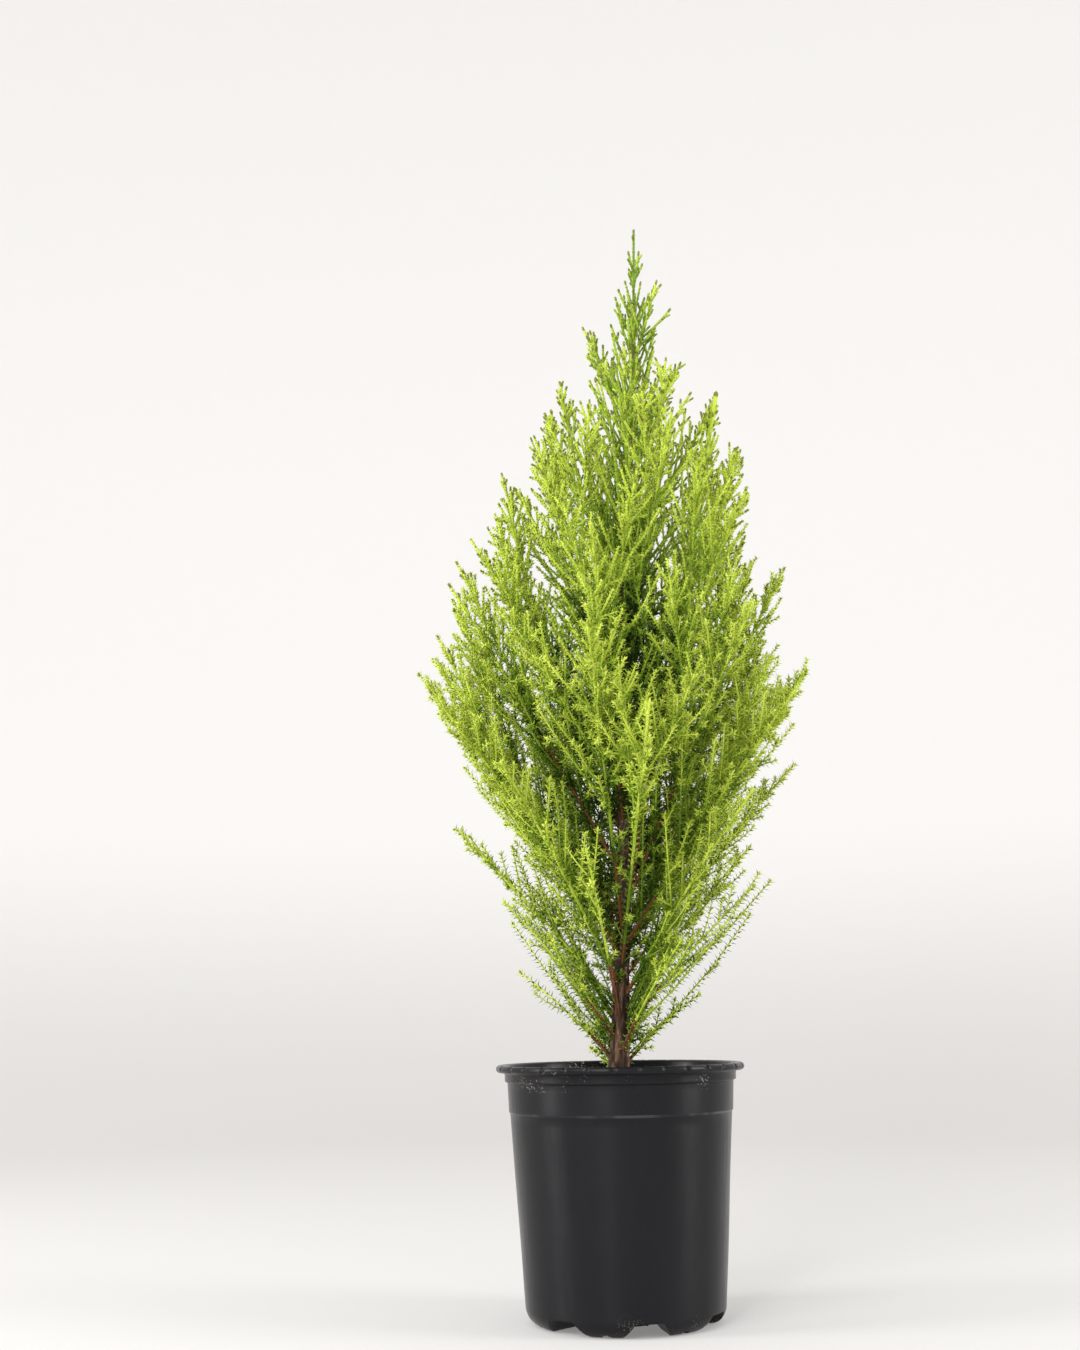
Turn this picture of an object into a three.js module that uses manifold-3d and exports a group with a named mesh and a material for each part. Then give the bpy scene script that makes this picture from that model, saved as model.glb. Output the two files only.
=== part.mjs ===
// A young lemon cypress in a round nursery pot, in millimetres with +Z up.
// The origin is the middle of the pot's underside, and the plant's front faces -Y.
import * as THREE from "three";
import { mergeVertices } from "three/addons/utils/BufferGeometryUtils.js";
import Module from "manifold-3d";

const wasm = await Module();
wasm.setup();

const GAP = 0.3; // clearance between neighbouring pieces
const MERGE_DISTANCE = 1e-4;
const TURN = 2 * Math.PI;
const GOLDEN_TURN = Math.PI * (3 - Math.sqrt(5));
const UP = new THREE.Vector3(0, 0, 1);

// Pot: a thin tapered shell with a rolled lip, a collar and a stepped band, on lobed feet.
const POT_HEIGHT = 162;
const POT_SEGMENTS = 40;
const POT_WALL = 1;
const RIM_RADIUS = 82.5;
const LIP_HEIGHT = 4.8;
const LIP_INNER_RADIUS = 75.2;
const COLLAR_RADIUS = 76.8;
const COLLAR_HEIGHT = 6.5;
const BAND_RADIUS = 75;
const BAND_HEIGHT = 19.5;
const BAND_STEP = 0.8;
const WALL_FOOT_RADIUS = 65;
const FOOT_ROUNDING = 11;
const FOOT_STEPS = 3;
const CHANNELS = 7;
const CHANNEL_PHASE = THREE.MathUtils.degToRad(13);
const CHANNEL_FOOT_WIDTH = 30;
const CHANNEL_ROOF_WIDTH = 18;
const CHANNEL_HEIGHT = 9;
const HUB_RADIUS = 20;
const CUT_OVERRUN = 1; // how far a cut runs past the face that it opens

// Potting mix inside the pot.
const SOIL_LEVEL = 149;

// Trunk: one leaning stem that runs up through the crown.
const PLANT_TOP = 765;
const TRUNK_TOP = 706;
const TRUNK_SIDES = 8;
const TRUNK_RINGS = 12;
const TRUNK_RING_EASE = 1.6; // crowds the rings towards the root flare
const TRUNK_FOOT_RADIUS = 6.3;
const TRUNK_TIP_RADIUS = 1.3;
const TRUNK_TAPER = 0.8;
const ROOT_FLARE = 2.6;
const ROOT_FLARE_HEIGHT = 10;
const TRUNK_LEAN = 27;
const TRUNK_SET = -1.5;
const TRUNK_SWAY = 1.6;
const SWAY_TURNS = 9;
const NOD_TURNS = 7;
const NOD_PHASE = 2;
const TRUNK_OVERRUN = 2; // how far the trunk runs below the mix before it is cut flat

// Crown: a spindle round the trunk, widest at the belly.
const CROWN_FOOT = 155;
const BELLY_HEIGHT = 420;
const BELLY_RADIUS = 144;
const FOOT_SWELL = 0.55;
const TOP_SWELL = 1.25;
const LOWEST_TIP = 196;
const HIGHEST_TIP = 722;
const TIP_CROWDING = 70;

// Limbs: each runs from the trunk to a tip on the crown's outline.
const SEED = 147;
const LIMBS = 45;
const BOUGHS = 8; // the lowest limbs start as a bare bough
const LIMB_POINTS = 14;
const FIRST_AZIMUTH = THREE.MathUtils.degToRad(20);
const AZIMUTH_JITTER = THREE.MathUtils.degToRad(24);
const REACH_LEAST = 0.92;
const REACH_SPREAD = 0.17;
const RISE_FOOT = 1.08;
const RISE_TOP = 2.1;
const RISE_EASE = 1.5;
const ARCH_FOOT = 0.07;
const ARCH_TOP = -0.02;
const LOWEST_JOIN = 7;
const JOIN_STEP = 4.5;
const BARE_SHARE = 0.3;
const LIMB_FOOT_RADIUS = 1.9;
const LIMB_TOP_RADIUS = 1.1;
const LIMB_TIP_RADIUS = 0.5;
const BOUGH_SIDES = 6;
const BOUGH_STEPS = 4;

// Fork: a second, steeper leader beside the trunk.
const FORK_JOIN = 256;
const FORK_TIP = 628;
const FORK_REACH = 62;
const FORK_AZIMUTH = THREE.MathUtils.degToRad(-12);
const FORK_ARCH = -0.05;
const FORK_BARE_SHARE = 0.34;
const FORK_RADIUS = 3.3;
const FORK_CLEARANCE = 7;
const ASIDE_STEP = THREE.MathUtils.degToRad(5);

// Shoots: side twigs drawn out of the faces of a three-sided stem.
const SIDES = 3;
const STEM_STEP = 12;
const STEM_TWIST = GOLDEN_TURN - TURN / SIDES;
const SHOOT_EVERY = 2; // steps of the stem from one shoot to the next
const SHOOT_SHARE = 0.45;
const SHOOT_LEAST = 28;
const SHOOT_MOST = 84;
const SHOOT_SHORTEST = 14;
const SHOOT_JITTER = 0.4;
const SHOOT_LEAN = THREE.MathUtils.degToRad(36);
const LEAN_JITTER = 0.3;
const SHOOT_LIFT = 0.3;
const SHOOT_POINTS = 10;
const SHOOT_STEP = 15.5;
const RING_SETBACK = 0.4; // how far, in steps, each ring of a shoot stays short of its step
const SHOOT_TWIST = THREE.MathUtils.degToRad(35);
const SHOOT_ROOT_RADIUS = 1.1;
const SHOOT_TIP_RADIUS = 0.6;
const SHOOT_ROOM = 1.6;
const SPACE_MARGIN = 1;
const OUTLINE_SLACK = 8;

// Sprays: short pointed fans of needles drawn out of the faces of stems and shoots.
const SPRAY_REACH = 11.5;
const SPRAY_TIP_REACH = 7;
const SPRAY_FORWARD = 1.15;
const STEM_SPRAY_REACH = 13.5;

const FINISHES = {
  pot: { color: 0x2a2b2d, roughness: 0.45, metalness: 0 },
  soil: { color: 0x2e2118, roughness: 1, metalness: 0 },
  bark: { color: 0x5f3d2b, roughness: 0.95, metalness: 0 },
  foliage: { color: 0x9cc32a, roughness: 0.75, metalness: 0 },
};

// A repeatable chance from 0 to 1 for one use of one twig on one limb.
function chance(limb, twig, use) {
  let mix = Math.imul(SEED + 1, 0x27d4eb2f);
  mix ^= Math.imul(limb + 1, 0x9e3779b1);
  mix ^= Math.imul(twig + 1, 0x85ebca6b);
  mix ^= Math.imul(use + 1, 0xc2b2ae35);
  mix = Math.imul(mix ^ (mix >>> 16), 0x7feb352d);
  mix = Math.imul(mix ^ (mix >>> 15), 0x846ca68b);
  return ((mix ^ (mix >>> 16)) >>> 0) / 4294967296;
}

function lerp(from, to, share) {
  return from + (to - from) * share;
}

function point(radius, height) {
  return new THREE.Vector2(radius, height);
}

// A closed geometry as a solid that can be joined and cut.
function solidOf(geometry) {
  geometry.deleteAttribute("normal");
  geometry.deleteAttribute("uv");
  const merged = mergeVertices(geometry, MERGE_DISTANCE);
  const mesh = new wasm.Mesh({
    numProp: 3,
    vertProperties: merged.attributes.position.array,
    triVerts: new Uint32Array(merged.index.array),
  });
  return new wasm.Manifold(mesh);
}

// The largest piece of a solid, without the scraps that a cut leaves.
function largestPiece(solid) {
  const pieces = solid.decompose();
  return pieces.reduce((best, piece) => (piece.volume() > best.volume() ? piece : best));
}

// A named mesh of a solid, with a material of its own.
function meshOf(name, solid, look) {
  const made = solid.getMesh();
  const geometry = new THREE.BufferGeometry();
  geometry.setAttribute("position", new THREE.BufferAttribute(made.vertProperties, 3));
  geometry.setIndex(new THREE.BufferAttribute(made.triVerts, 1));
  geometry.computeVertexNormals();
  const mesh = new THREE.Mesh(geometry, new THREE.MeshStandardMaterial(look));
  mesh.name = name;
  return mesh;
}

// A body turned about +Z from a profile of radius and height.
function turned(profile) {
  const geometry = new THREE.LatheGeometry(profile, POT_SEGMENTS);
  return solidOf(geometry.rotateX(Math.PI / 2));
}

// The pot's outer wall radius at a height between the feet and the band.
function wallRadius(height) {
  const bandFoot = POT_HEIGHT - LIP_HEIGHT - COLLAR_HEIGHT - BAND_HEIGHT;
  const top = BAND_RADIUS - 2 * BAND_STEP;
  return lerp(WALL_FOOT_RADIUS, top, (height - FOOT_ROUNDING) / (bandFoot - FOOT_ROUNDING));
}

// The rounded edge between the underside and the wall, for a skin set in by some depth.
function footCurve(depth) {
  const middle = WALL_FOOT_RADIUS - FOOT_ROUNDING;
  const radius = FOOT_ROUNDING - depth;
  const curve = [];
  for (let step = 0; step <= FOOT_STEPS; step += 1) {
    const angle = (step / FOOT_STEPS) * (Math.PI / 2);
    const out = middle + radius * Math.sin(angle);
    curve.push(point(out, FOOT_ROUNDING - radius * Math.cos(angle)));
  }
  return curve;
}

// The pot's outside from the middle of the underside up to the lip, closed on the axis.
function potOutside() {
  const collarTop = POT_HEIGHT - LIP_HEIGHT;
  const bandTop = collarTop - COLLAR_HEIGHT;
  const bandFoot = bandTop - BAND_HEIGHT;
  const lipMiddle = POT_HEIGHT - LIP_HEIGHT / 2;
  return [
    point(0, 0),
    ...footCurve(0),
    point(wallRadius(bandFoot), bandFoot),
    point(wallRadius(bandFoot) + BAND_STEP, bandFoot + BAND_STEP),
    point(BAND_RADIUS, bandTop),
    point(COLLAR_RADIUS, bandTop + BAND_STEP),
    point(COLLAR_RADIUS, collarTop),
    point(RIM_RADIUS - LIP_HEIGHT / 3, collarTop),
    point(RIM_RADIUS, lipMiddle),
    point(RIM_RADIUS - LIP_HEIGHT / 3, POT_HEIGHT),
    point(0, POT_HEIGHT),
  ];
}

// The space inside the pot, set in from its wall by some depth, up to a level.
function potInside(depth, level) {
  const bandFoot = POT_HEIGHT - LIP_HEIGHT - COLLAR_HEIGHT - BAND_HEIGHT;
  const inset = wallRadius(bandFoot) - depth;
  const mouth = LIP_INNER_RADIUS - depth + POT_WALL;
  const profile = [point(0, depth), ...footCurve(depth), point(inset, bandFoot)];
  profile.push(point(lerp(inset, mouth, (level - bandFoot) / (POT_HEIGHT - bandFoot)), level));
  profile.push(point(0, level));
  return turned(profile);
}

// Drain channels that run in under the pot between its feet, grown by some depth.
function drainChannels(depth) {
  const section = new THREE.Shape();
  section.moveTo(-CHANNEL_FOOT_WIDTH / 2 - depth, -CUT_OVERRUN);
  section.lineTo(CHANNEL_FOOT_WIDTH / 2 + depth, -CUT_OVERRUN);
  section.lineTo(CHANNEL_ROOF_WIDTH / 2 + depth, CHANNEL_HEIGHT + depth);
  section.lineTo(-CHANNEL_ROOF_WIDTH / 2 - depth, CHANNEL_HEIGHT + depth);
  const length = RIM_RADIUS - HUB_RADIUS;
  const channels = [];
  for (let index = 0; index < CHANNELS; index += 1) {
    const geometry = new THREE.ExtrudeGeometry(section, { depth: length, bevelEnabled: false });
    geometry.rotateX(Math.PI / 2);
    geometry.translate(0, -HUB_RADIUS + depth, 0);
    geometry.rotateZ(CHANNEL_PHASE + (index / CHANNELS) * TURN);
    channels.push(solidOf(geometry));
  }
  return wasm.Manifold.union(channels);
}

function makePot() {
  const body = turned(potOutside()).subtract(drainChannels(0));
  const hollow = potInside(POT_WALL, POT_HEIGHT + CUT_OVERRUN);
  return meshOf("pot", body.subtract(hollow.subtract(drainChannels(POT_WALL))), FINISHES.pot);
}

function makeSoil() {
  const depth = POT_WALL + GAP;
  return meshOf("soil", potInside(depth, SOIL_LEVEL).subtract(drainChannels(depth)), FINISHES.soil);
}

// The middle of the trunk, or of its leader, at a height.
function trunkAt(height) {
  const share = (height - SOIL_LEVEL) / (PLANT_TOP - SOIL_LEVEL);
  const sway = TRUNK_SWAY * Math.sin(share * SWAY_TURNS);
  const nod = TRUNK_SWAY * Math.sin(share * NOD_TURNS + NOD_PHASE);
  return new THREE.Vector3(TRUNK_SET + TRUNK_LEAN * share + sway, nod, height);
}

function trunkRadius(height) {
  const share = (height - SOIL_LEVEL) / (PLANT_TOP - SOIL_LEVEL);
  const taper = lerp(TRUNK_TIP_RADIUS, TRUNK_FOOT_RADIUS, Math.max(1 - share, 0) ** (1 / TRUNK_TAPER));
  return taper + ROOT_FLARE * Math.exp((SOIL_LEVEL - height) / ROOT_FLARE_HEIGHT);
}

// The crown's outline: how far from the trunk its tips reach at a height.
function crownRadius(height) {
  if (height < BELLY_HEIGHT) {
    const share = Math.max((height - CROWN_FOOT) / (BELLY_HEIGHT - CROWN_FOOT), 0);
    return BELLY_RADIUS * share ** FOOT_SWELL;
  }
  const share = Math.min((height - BELLY_HEIGHT) / (PLANT_TOP - BELLY_HEIGHT), 1);
  return BELLY_RADIUS * (1 - share ** TOP_SWELL);
}

// Tip heights that give each limb an equal share of the crown's surface.
function tipHeights() {
  const weight = (height) => crownRadius(height) + TIP_CROWDING;
  let whole = 0;
  for (let height = LOWEST_TIP; height < HIGHEST_TIP; height += 1) {
    whole += weight(height);
  }
  const heights = [];
  let passed = 0;
  for (let height = LOWEST_TIP; height < HIGHEST_TIP; height += 1) {
    passed += weight(height);
    if (passed >= (whole * (heights.length + 0.5)) / LIMBS) {
      heights.push(height);
    }
  }
  return heights;
}

// A bow from one point to another, its middle lifted by a share of its length.
function bow(from, to, arch) {
  const middle = from.clone().add(to).multiplyScalar(0.5);
  middle.addScaledVector(UP, arch * from.distanceTo(to));
  return new THREE.QuadraticBezierCurve3(from, middle, to);
}

function outward(azimuth) {
  return new THREE.Vector3(Math.cos(azimuth), Math.sin(azimuth), 0);
}

// One limb's course, thickness and name, by its place in the order from the ground up.
function growLimb(index, tipHeight, aside) {
  const rank = (tipHeight - LOWEST_TIP) / (HIGHEST_TIP - LOWEST_TIP);
  const turn = (chance(index, 0, 1) - 0.5) * AZIMUTH_JITTER;
  const azimuth = FIRST_AZIMUTH + index * GOLDEN_TURN + turn + aside;
  const reach = crownRadius(tipHeight) * (REACH_LEAST + REACH_SPREAD * chance(index, 0, 2));
  const rise = reach * lerp(RISE_FOOT, RISE_TOP, rank ** RISE_EASE);
  const join = Math.max(tipHeight - rise, SOIL_LEVEL + LOWEST_JOIN + index * JOIN_STEP);
  const tip = trunkAt(tipHeight).addScaledVector(outward(azimuth), reach);
  const curve = bow(trunkAt(join), tip, lerp(ARCH_FOOT, ARCH_TOP, rank));
  return {
    index,
    azimuth,
    curve,
    course: courseOf(curve, LIMB_POINTS),
    radius: lerp(LIMB_FOOT_RADIUS, LIMB_TOP_RADIUS, rank),
    bare: index < BOUGHS ? BARE_SHARE : 0,
    name: String(index + 1).padStart(2, "0"),
  };
}

function growFork() {
  const tip = trunkAt(FORK_TIP).addScaledVector(outward(FORK_AZIMUTH), FORK_REACH);
  const curve = bow(trunkAt(FORK_JOIN), tip, FORK_ARCH);
  return {
    index: LIMBS,
    azimuth: FORK_AZIMUTH,
    curve,
    course: courseOf(curve, LIMB_POINTS),
    radius: FORK_RADIUS,
    bare: FORK_BARE_SHARE,
    name: "fork",
  };
}

// A limb turned aside, a little at a time, until it passes clear of the fork.
function growClearOf(fork, index, tipHeight) {
  let limb = growLimb(index, tipHeight, 0);
  const isClear = (place) => {
    const isInTrunk = place.distanceTo(trunkAt(place.z)) < trunkRadius(place.z) + fork.radius;
    return isInTrunk || distanceTo(fork.course, place) > FORK_CLEARANCE;
  };
  for (let aside = ASIDE_STEP; !limb.course.every(isClear); aside += ASIDE_STEP) {
    limb = growLimb(index, tipHeight, aside);
  }
  return limb;
}

function growLeader() {
  const curve = bow(trunkAt(TRUNK_TOP + GAP), trunkAt(PLANT_TOP), 0);
  return {
    index: LIMBS + 1,
    azimuth: 0,
    curve,
    course: courseOf(curve, LIMB_POINTS),
    radius: TRUNK_TIP_RADIUS,
    bare: 0,
    name: "leader",
  };
}

function limbRadius(limb, share) {
  return lerp(limb.radius, LIMB_TIP_RADIUS, share);
}

// A limb's course as straight steps, for measuring how near other pieces come.
function courseOf(curve, count) {
  return curve.getPoints(count - 1);
}

function distanceTo(course, place) {
  const line = new THREE.Line3();
  const near = new THREE.Vector3();
  let least = Infinity;
  for (let step = 1; step < course.length; step += 1) {
    line.set(course[step - 1], course[step]);
    line.closestPointToPoint(place, true, near);
    least = Math.min(least, near.distanceTo(place));
  }
  return least;
}

// A turned profile of radius and share of length, bent along a curve.
function bent(profile, sides, curve) {
  const geometry = new THREE.LatheGeometry(profile, sides);
  const position = geometry.attributes.position;
  const side = new THREE.Vector3().crossVectors(curve.getTangent(0), UP).normalize();
  for (let index = 0; index < position.count; index += 1) {
    const share = THREE.MathUtils.clamp(position.getY(index), 0, 1);
    const along = curve.getTangent(share);
    const across = new THREE.Vector3().crossVectors(side, along).normalize();
    const level = new THREE.Vector3().crossVectors(along, across);
    const place = curve.getPoint(share).addScaledVector(level, position.getX(index));
    place.addScaledVector(across, position.getZ(index));
    position.setXYZ(index, place.x, place.y, place.z);
  }
  return solidOf(geometry);
}

// A part of a curve between two shares of its length.
function stretch(curve, from, to) {
  const middle = (from + to) / 2;
  const ends = [curve.getPoint(from), curve.getPoint(to)];
  const control = curve.getPoint(middle).multiplyScalar(2);
  control.addScaledVector(ends[0], -0.5).addScaledVector(ends[1], -0.5);
  return new THREE.QuadraticBezierCurve3(ends[0], control, ends[1]);
}

// A tapering profile with flat ends.
function taperProfile(radiusAt, steps) {
  const profile = [point(0, 0)];
  for (let step = 0; step <= steps; step += 1) {
    profile.push(point(radiusAt(step / steps), step / steps));
  }
  profile.push(point(0, 1));
  return profile;
}

class TrunkLine extends THREE.Curve {
  getPoint(share) {
    return trunkAt(lerp(SOIL_LEVEL - TRUNK_OVERRUN, TRUNK_TOP, share));
  }
}

// The trunk, cut flat just above the potting mix.
function trunkSolid(grown) {
  const foot = SOIL_LEVEL - TRUNK_OVERRUN;
  const profile = [point(0, 0)];
  for (let ring = 0; ring <= TRUNK_RINGS; ring += 1) {
    const share = (ring / TRUNK_RINGS) ** TRUNK_RING_EASE;
    profile.push(point(trunkRadius(lerp(foot, TRUNK_TOP, share)) + grown, share));
  }
  profile.push(point(0, 1));
  return bent(profile, TRUNK_SIDES, new TrunkLine()).trimByPlane([0, 0, 1], SOIL_LEVEL + GAP - grown);
}

// Whether a place with room round it lies in a limb's own part of the crown.
function isOwnSpace(limb, place, room, limbs) {
  const trunk = trunkAt(place.z);
  const out = Math.hypot(place.x - trunk.x, place.y - trunk.y);
  if (out > crownRadius(place.z) + OUTLINE_SLACK) {
    return false;
  }
  if (place.z < TRUNK_TOP + room && out < trunkRadius(place.z) + room + SPACE_MARGIN) {
    return false;
  }
  const own = distanceTo(limb.course, place) + 2 * room + SPACE_MARGIN;
  return limbs.every((other) => other === limb || distanceTo(other.course, place) - other.radius > own);
}

// A side shoot's course: it leaves the stem at an angle and turns up.
function shootCurve(limb, twig, share, root, facing) {
  const along = limb.curve.getTangent(share);
  const lean = SHOOT_LEAN * (1 + LEAN_JITTER * (chance(limb.index, twig, 3) - 0.5));
  const heading = along.clone().multiplyScalar(Math.cos(lean)).addScaledVector(facing, Math.sin(lean));
  const rest = limb.curve.getLength() * (1 - share);
  const jitter = 1 + SHOOT_JITTER * (chance(limb.index, twig, 4) - 0.5);
  const half = Math.min((SHOOT_SHARE * rest + SHOOT_LEAST) * jitter, SHOOT_MOST) / 2;
  const middle = root.clone().addScaledVector(heading, half);
  const raised = heading.clone().addScaledVector(UP, SHOOT_LIFT).normalize();
  return new THREE.QuadraticBezierCurve3(root, middle, middle.clone().addScaledVector(raised, half));
}

// A foliage mass as one closed skin: a stem with shoots and sprays drawn out of its faces.
class Mass {
  constructor(limb, limbs) {
    this.limb = limb;
    this.limbs = limbs;
    this.places = [];
    this.faces = [];
    this.bodies = []; // the shoots and sprays grown so far
  }

  addPlace(place) {
    this.places.push(place);
    return this.places.length - 1;
  }

  // A ring of places round a middle, turned in order about its heading.
  addRing(middle, heading, first, radius) {
    const second = new THREE.Vector3().crossVectors(heading, first).normalize();
    const ring = [];
    for (let side = 0; side < SIDES; side += 1) {
      const angle = (side / SIDES) * TURN;
      const place = middle.clone().addScaledVector(first, radius * Math.cos(angle));
      ring.push(this.addPlace(place.addScaledVector(second, radius * Math.sin(angle))));
    }
    return ring;
  }

  // The faces between two rings: one of each side is plain, and the other may be drawn out.
  bandFaces(lower, upper) {
    const plain = [];
    const open = [];
    for (let side = 0; side < SIDES; side += 1) {
      const next = (side + 1) % SIDES;
      open.push([lower[side], lower[next], upper[next]]);
      plain.push([lower[side], upper[next], upper[side]]);
    }
    return { plain, open };
  }

  // A pointed cap over any ring of places.
  tipFaces(ring, tip) {
    const apex = this.addPlace(tip);
    return ring.map((place, side) => [place, ring[(side + 1) % SIDES], apex]);
  }

  solidFrom(faces) {
    const geometry = new THREE.BufferGeometry().setFromPoints(this.places);
    geometry.setIndex(faces.flat());
    return solidOf(geometry);
  }

  // Adds what grows out of a face, unless it runs into what the mass already has.
  accepts(face, grown) {
    const body = this.solidFrom([...grown, [face[0], face[2], face[1]]]);
    if (this.bodies.some((other) => other.intersect(body).volume() > 0)) {
      return false;
    }
    this.bodies.push(body);
    return true;
  }

  middleOf(face) {
    const [low, next, high] = face.map((index) => this.places[index]);
    const facing = next.clone().sub(low).cross(high.clone().sub(low)).normalize();
    return { middle: low.clone().add(next).add(high).divideScalar(SIDES), facing };
  }

  // A spray out of a face, or the plain face where the spray would leave the mass's space.
  sprayFaces(face, along, reach) {
    const { middle, facing } = this.middleOf(face);
    const tip = middle.addScaledVector(facing, reach).addScaledVector(along, reach * SPRAY_FORWARD);
    if (!isOwnSpace(this.limb, tip, 0, this.limbs)) {
      return [face];
    }
    return this.tipFaces(face, tip);
  }

  // How much of a shoot's course stays in the mass's own space.
  freeShare(course) {
    const stop = course.findIndex((place, step) => {
      return step > 0 && !isOwnSpace(this.limb, place, SHOOT_ROOM, this.limbs);
    });
    return stop < 0 ? 1 : Math.max(stop - 1, 0) / (course.length - 1);
  }

  // A shoot of rings and sprays out of a face of the stem, or nothing where there is no room.
  shootFaces(twig, share, face) {
    const { middle, facing } = this.middleOf(face);
    const curve = shootCurve(this.limb, twig, share, middle, facing);
    const free = this.freeShare(courseOf(curve, SHOOT_POINTS));
    const length = curve.getLength() * free;
    if (length < SHOOT_SHORTEST) {
      return null;
    }
    const kept = stretch(curve, 0, free);
    const first = this.places[face[SIDES - 1]].clone().sub(middle);
    const steps = Math.max(1, Math.round(length / SHOOT_STEP));
    const faces = [];
    let lower = face;
    for (let step = 1; step <= steps; step += 1) {
      const place = (step - RING_SETBACK) / steps;
      const along = kept.getTangent(place);
      const aim = first.clone().addScaledVector(along, -first.dot(along)).normalize();
      aim.applyAxisAngle(along, TURN / SIDES + (step - 1) * SHOOT_TWIST);
      const radius = lerp(SHOOT_ROOT_RADIUS, SHOOT_TIP_RADIUS, place);
      const upper = this.addRing(kept.getPoint(place), along, aim, radius);
      const { plain, open } = this.bandFaces(lower, upper);
      faces.push(...plain);
      const reach = lerp(SPRAY_REACH, SPRAY_TIP_REACH, place);
      for (const panel of open) {
        faces.push(...(step > 1 ? this.sprayFaces(panel, along, reach) : [panel]));
      }
      lower = upper;
    }
    faces.push(...this.tipFaces(lower, kept.getPoint(1)));
    return faces;
  }

  // Tries what could grow out of an open face of the stem, from the largest down.
  fillFace(step, share, face, isShoot) {
    const along = this.limb.curve.getTangent(share);
    const shoot = isShoot ? this.shootFaces(step, share, face) : null;
    const grown = [shoot, this.sprayFaces(face, along, STEM_SPRAY_REACH)].find((faces) => {
      return faces !== null && faces.length > 1 && this.accepts(face, faces);
    });
    this.faces.push(...(grown ?? [face]));
  }

  build(start) {
    const { limb } = this;
    const length = limb.curve.getLength() * (1 - start);
    const steps = Math.max(2, Math.round(length / STEM_STEP));
    const side = outward(limb.azimuth + Math.PI / 2);
    let lower = null;
    for (let step = 0; step < steps; step += 1) {
      const share = lerp(start, 1, step / steps);
      const along = limb.curve.getTangent(share);
      const first = side.clone().applyAxisAngle(along, step * STEM_TWIST);
      const ring = this.addRing(limb.curve.getPoint(share), along, first, limbRadius(limb, share));
      if (lower) {
        const { plain, open } = this.bandFaces(lower, ring);
        this.faces.push(...plain);
        open.forEach((face, place) => {
          this.fillFace(step, share, face, step % SHOOT_EVERY === 0 && place === step % SIDES);
        });
      } else {
        this.faces.push([ring[0], ring[2], ring[1]]);
      }
      lower = ring;
    }
    this.faces.push(...this.tipFaces(lower, limb.curve.getPoint(1)));
    return this.solidFrom(this.faces);
  }
}

// A limb as a group: its bare bough, where it has one, and the foliage mass that follows.
function makeLimb(limb, limbs, clearance) {
  const group = new THREE.Group();
  let start = 0;
  if (limb.bare > 0) {
    const radiusAt = (share) => limbRadius(limb, limb.bare * share);
    const course = stretch(limb.curve, 0, limb.bare);
    const bough = bent(taperProfile(radiusAt, BOUGH_STEPS), BOUGH_SIDES, course);
    group.add(meshOf(`bough_${limb.name}`, largestPiece(bough.subtract(clearance)), FINISHES.bark));
    start = limb.bare + GAP / limb.curve.getLength();
  }
  const mass = new Mass(limb, limbs).build(start);
  group.add(meshOf(`foliage_${limb.name}`, largestPiece(mass.subtract(clearance)), FINISHES.foliage));
  return group;
}

function makeTree() {
  const fork = growFork();
  const limbs = tipHeights().map((height, index) => growClearOf(fork, index, height));
  limbs.push(fork, growLeader());
  const clearance = trunkSolid(GAP);
  const tree = new THREE.Group();
  tree.add(meshOf("trunk", trunkSolid(0), FINISHES.bark));
  for (const limb of limbs) {
    tree.add(makeLimb(limb, limbs, clearance));
  }
  return tree;
}

const plant = new THREE.Group();
plant.add(makePot(), makeSoil(), makeTree());

export default plant;
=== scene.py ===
"""A lemon cypress in a black nursery pot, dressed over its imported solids.

The crown grows by the same seeded rule as its solids: limbs leave a leaning trunk for the outline
of a spindle, shoots leave the limbs in a spiral, and finer side shoots and needles follow here.
Sizes are in millimetres, as in the plant's source, and each mesh turns them into metres.
"""

import logging
import math
from dataclasses import dataclass, field, replace
from enum import Enum, IntEnum

import bpy
import numpy as np
from bpy.types import Material, Node, NodeOutputs, NodeSocket, NodeTree, Object
from mathutils import Matrix, Vector


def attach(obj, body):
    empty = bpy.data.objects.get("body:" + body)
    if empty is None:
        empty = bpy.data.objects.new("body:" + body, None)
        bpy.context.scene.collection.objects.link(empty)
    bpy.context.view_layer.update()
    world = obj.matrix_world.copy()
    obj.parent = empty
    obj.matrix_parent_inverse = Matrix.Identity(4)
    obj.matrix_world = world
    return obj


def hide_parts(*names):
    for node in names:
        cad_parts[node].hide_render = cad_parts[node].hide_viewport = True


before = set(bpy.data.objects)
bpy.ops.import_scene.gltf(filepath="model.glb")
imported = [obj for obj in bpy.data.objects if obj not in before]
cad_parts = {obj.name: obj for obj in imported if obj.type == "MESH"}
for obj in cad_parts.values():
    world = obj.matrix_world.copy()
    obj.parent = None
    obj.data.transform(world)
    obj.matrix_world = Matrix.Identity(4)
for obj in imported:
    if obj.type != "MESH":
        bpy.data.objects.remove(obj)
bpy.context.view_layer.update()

# Short names for types that recur.
Array = np.ndarray
Span = tuple[float, float]
Point = tuple[float, float, float]
Light = tuple[float, float, float, float]
Sizes = tuple[float, ...]
Profile = tuple[Span, ...]
Colour = tuple[int, int, int]

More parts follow.
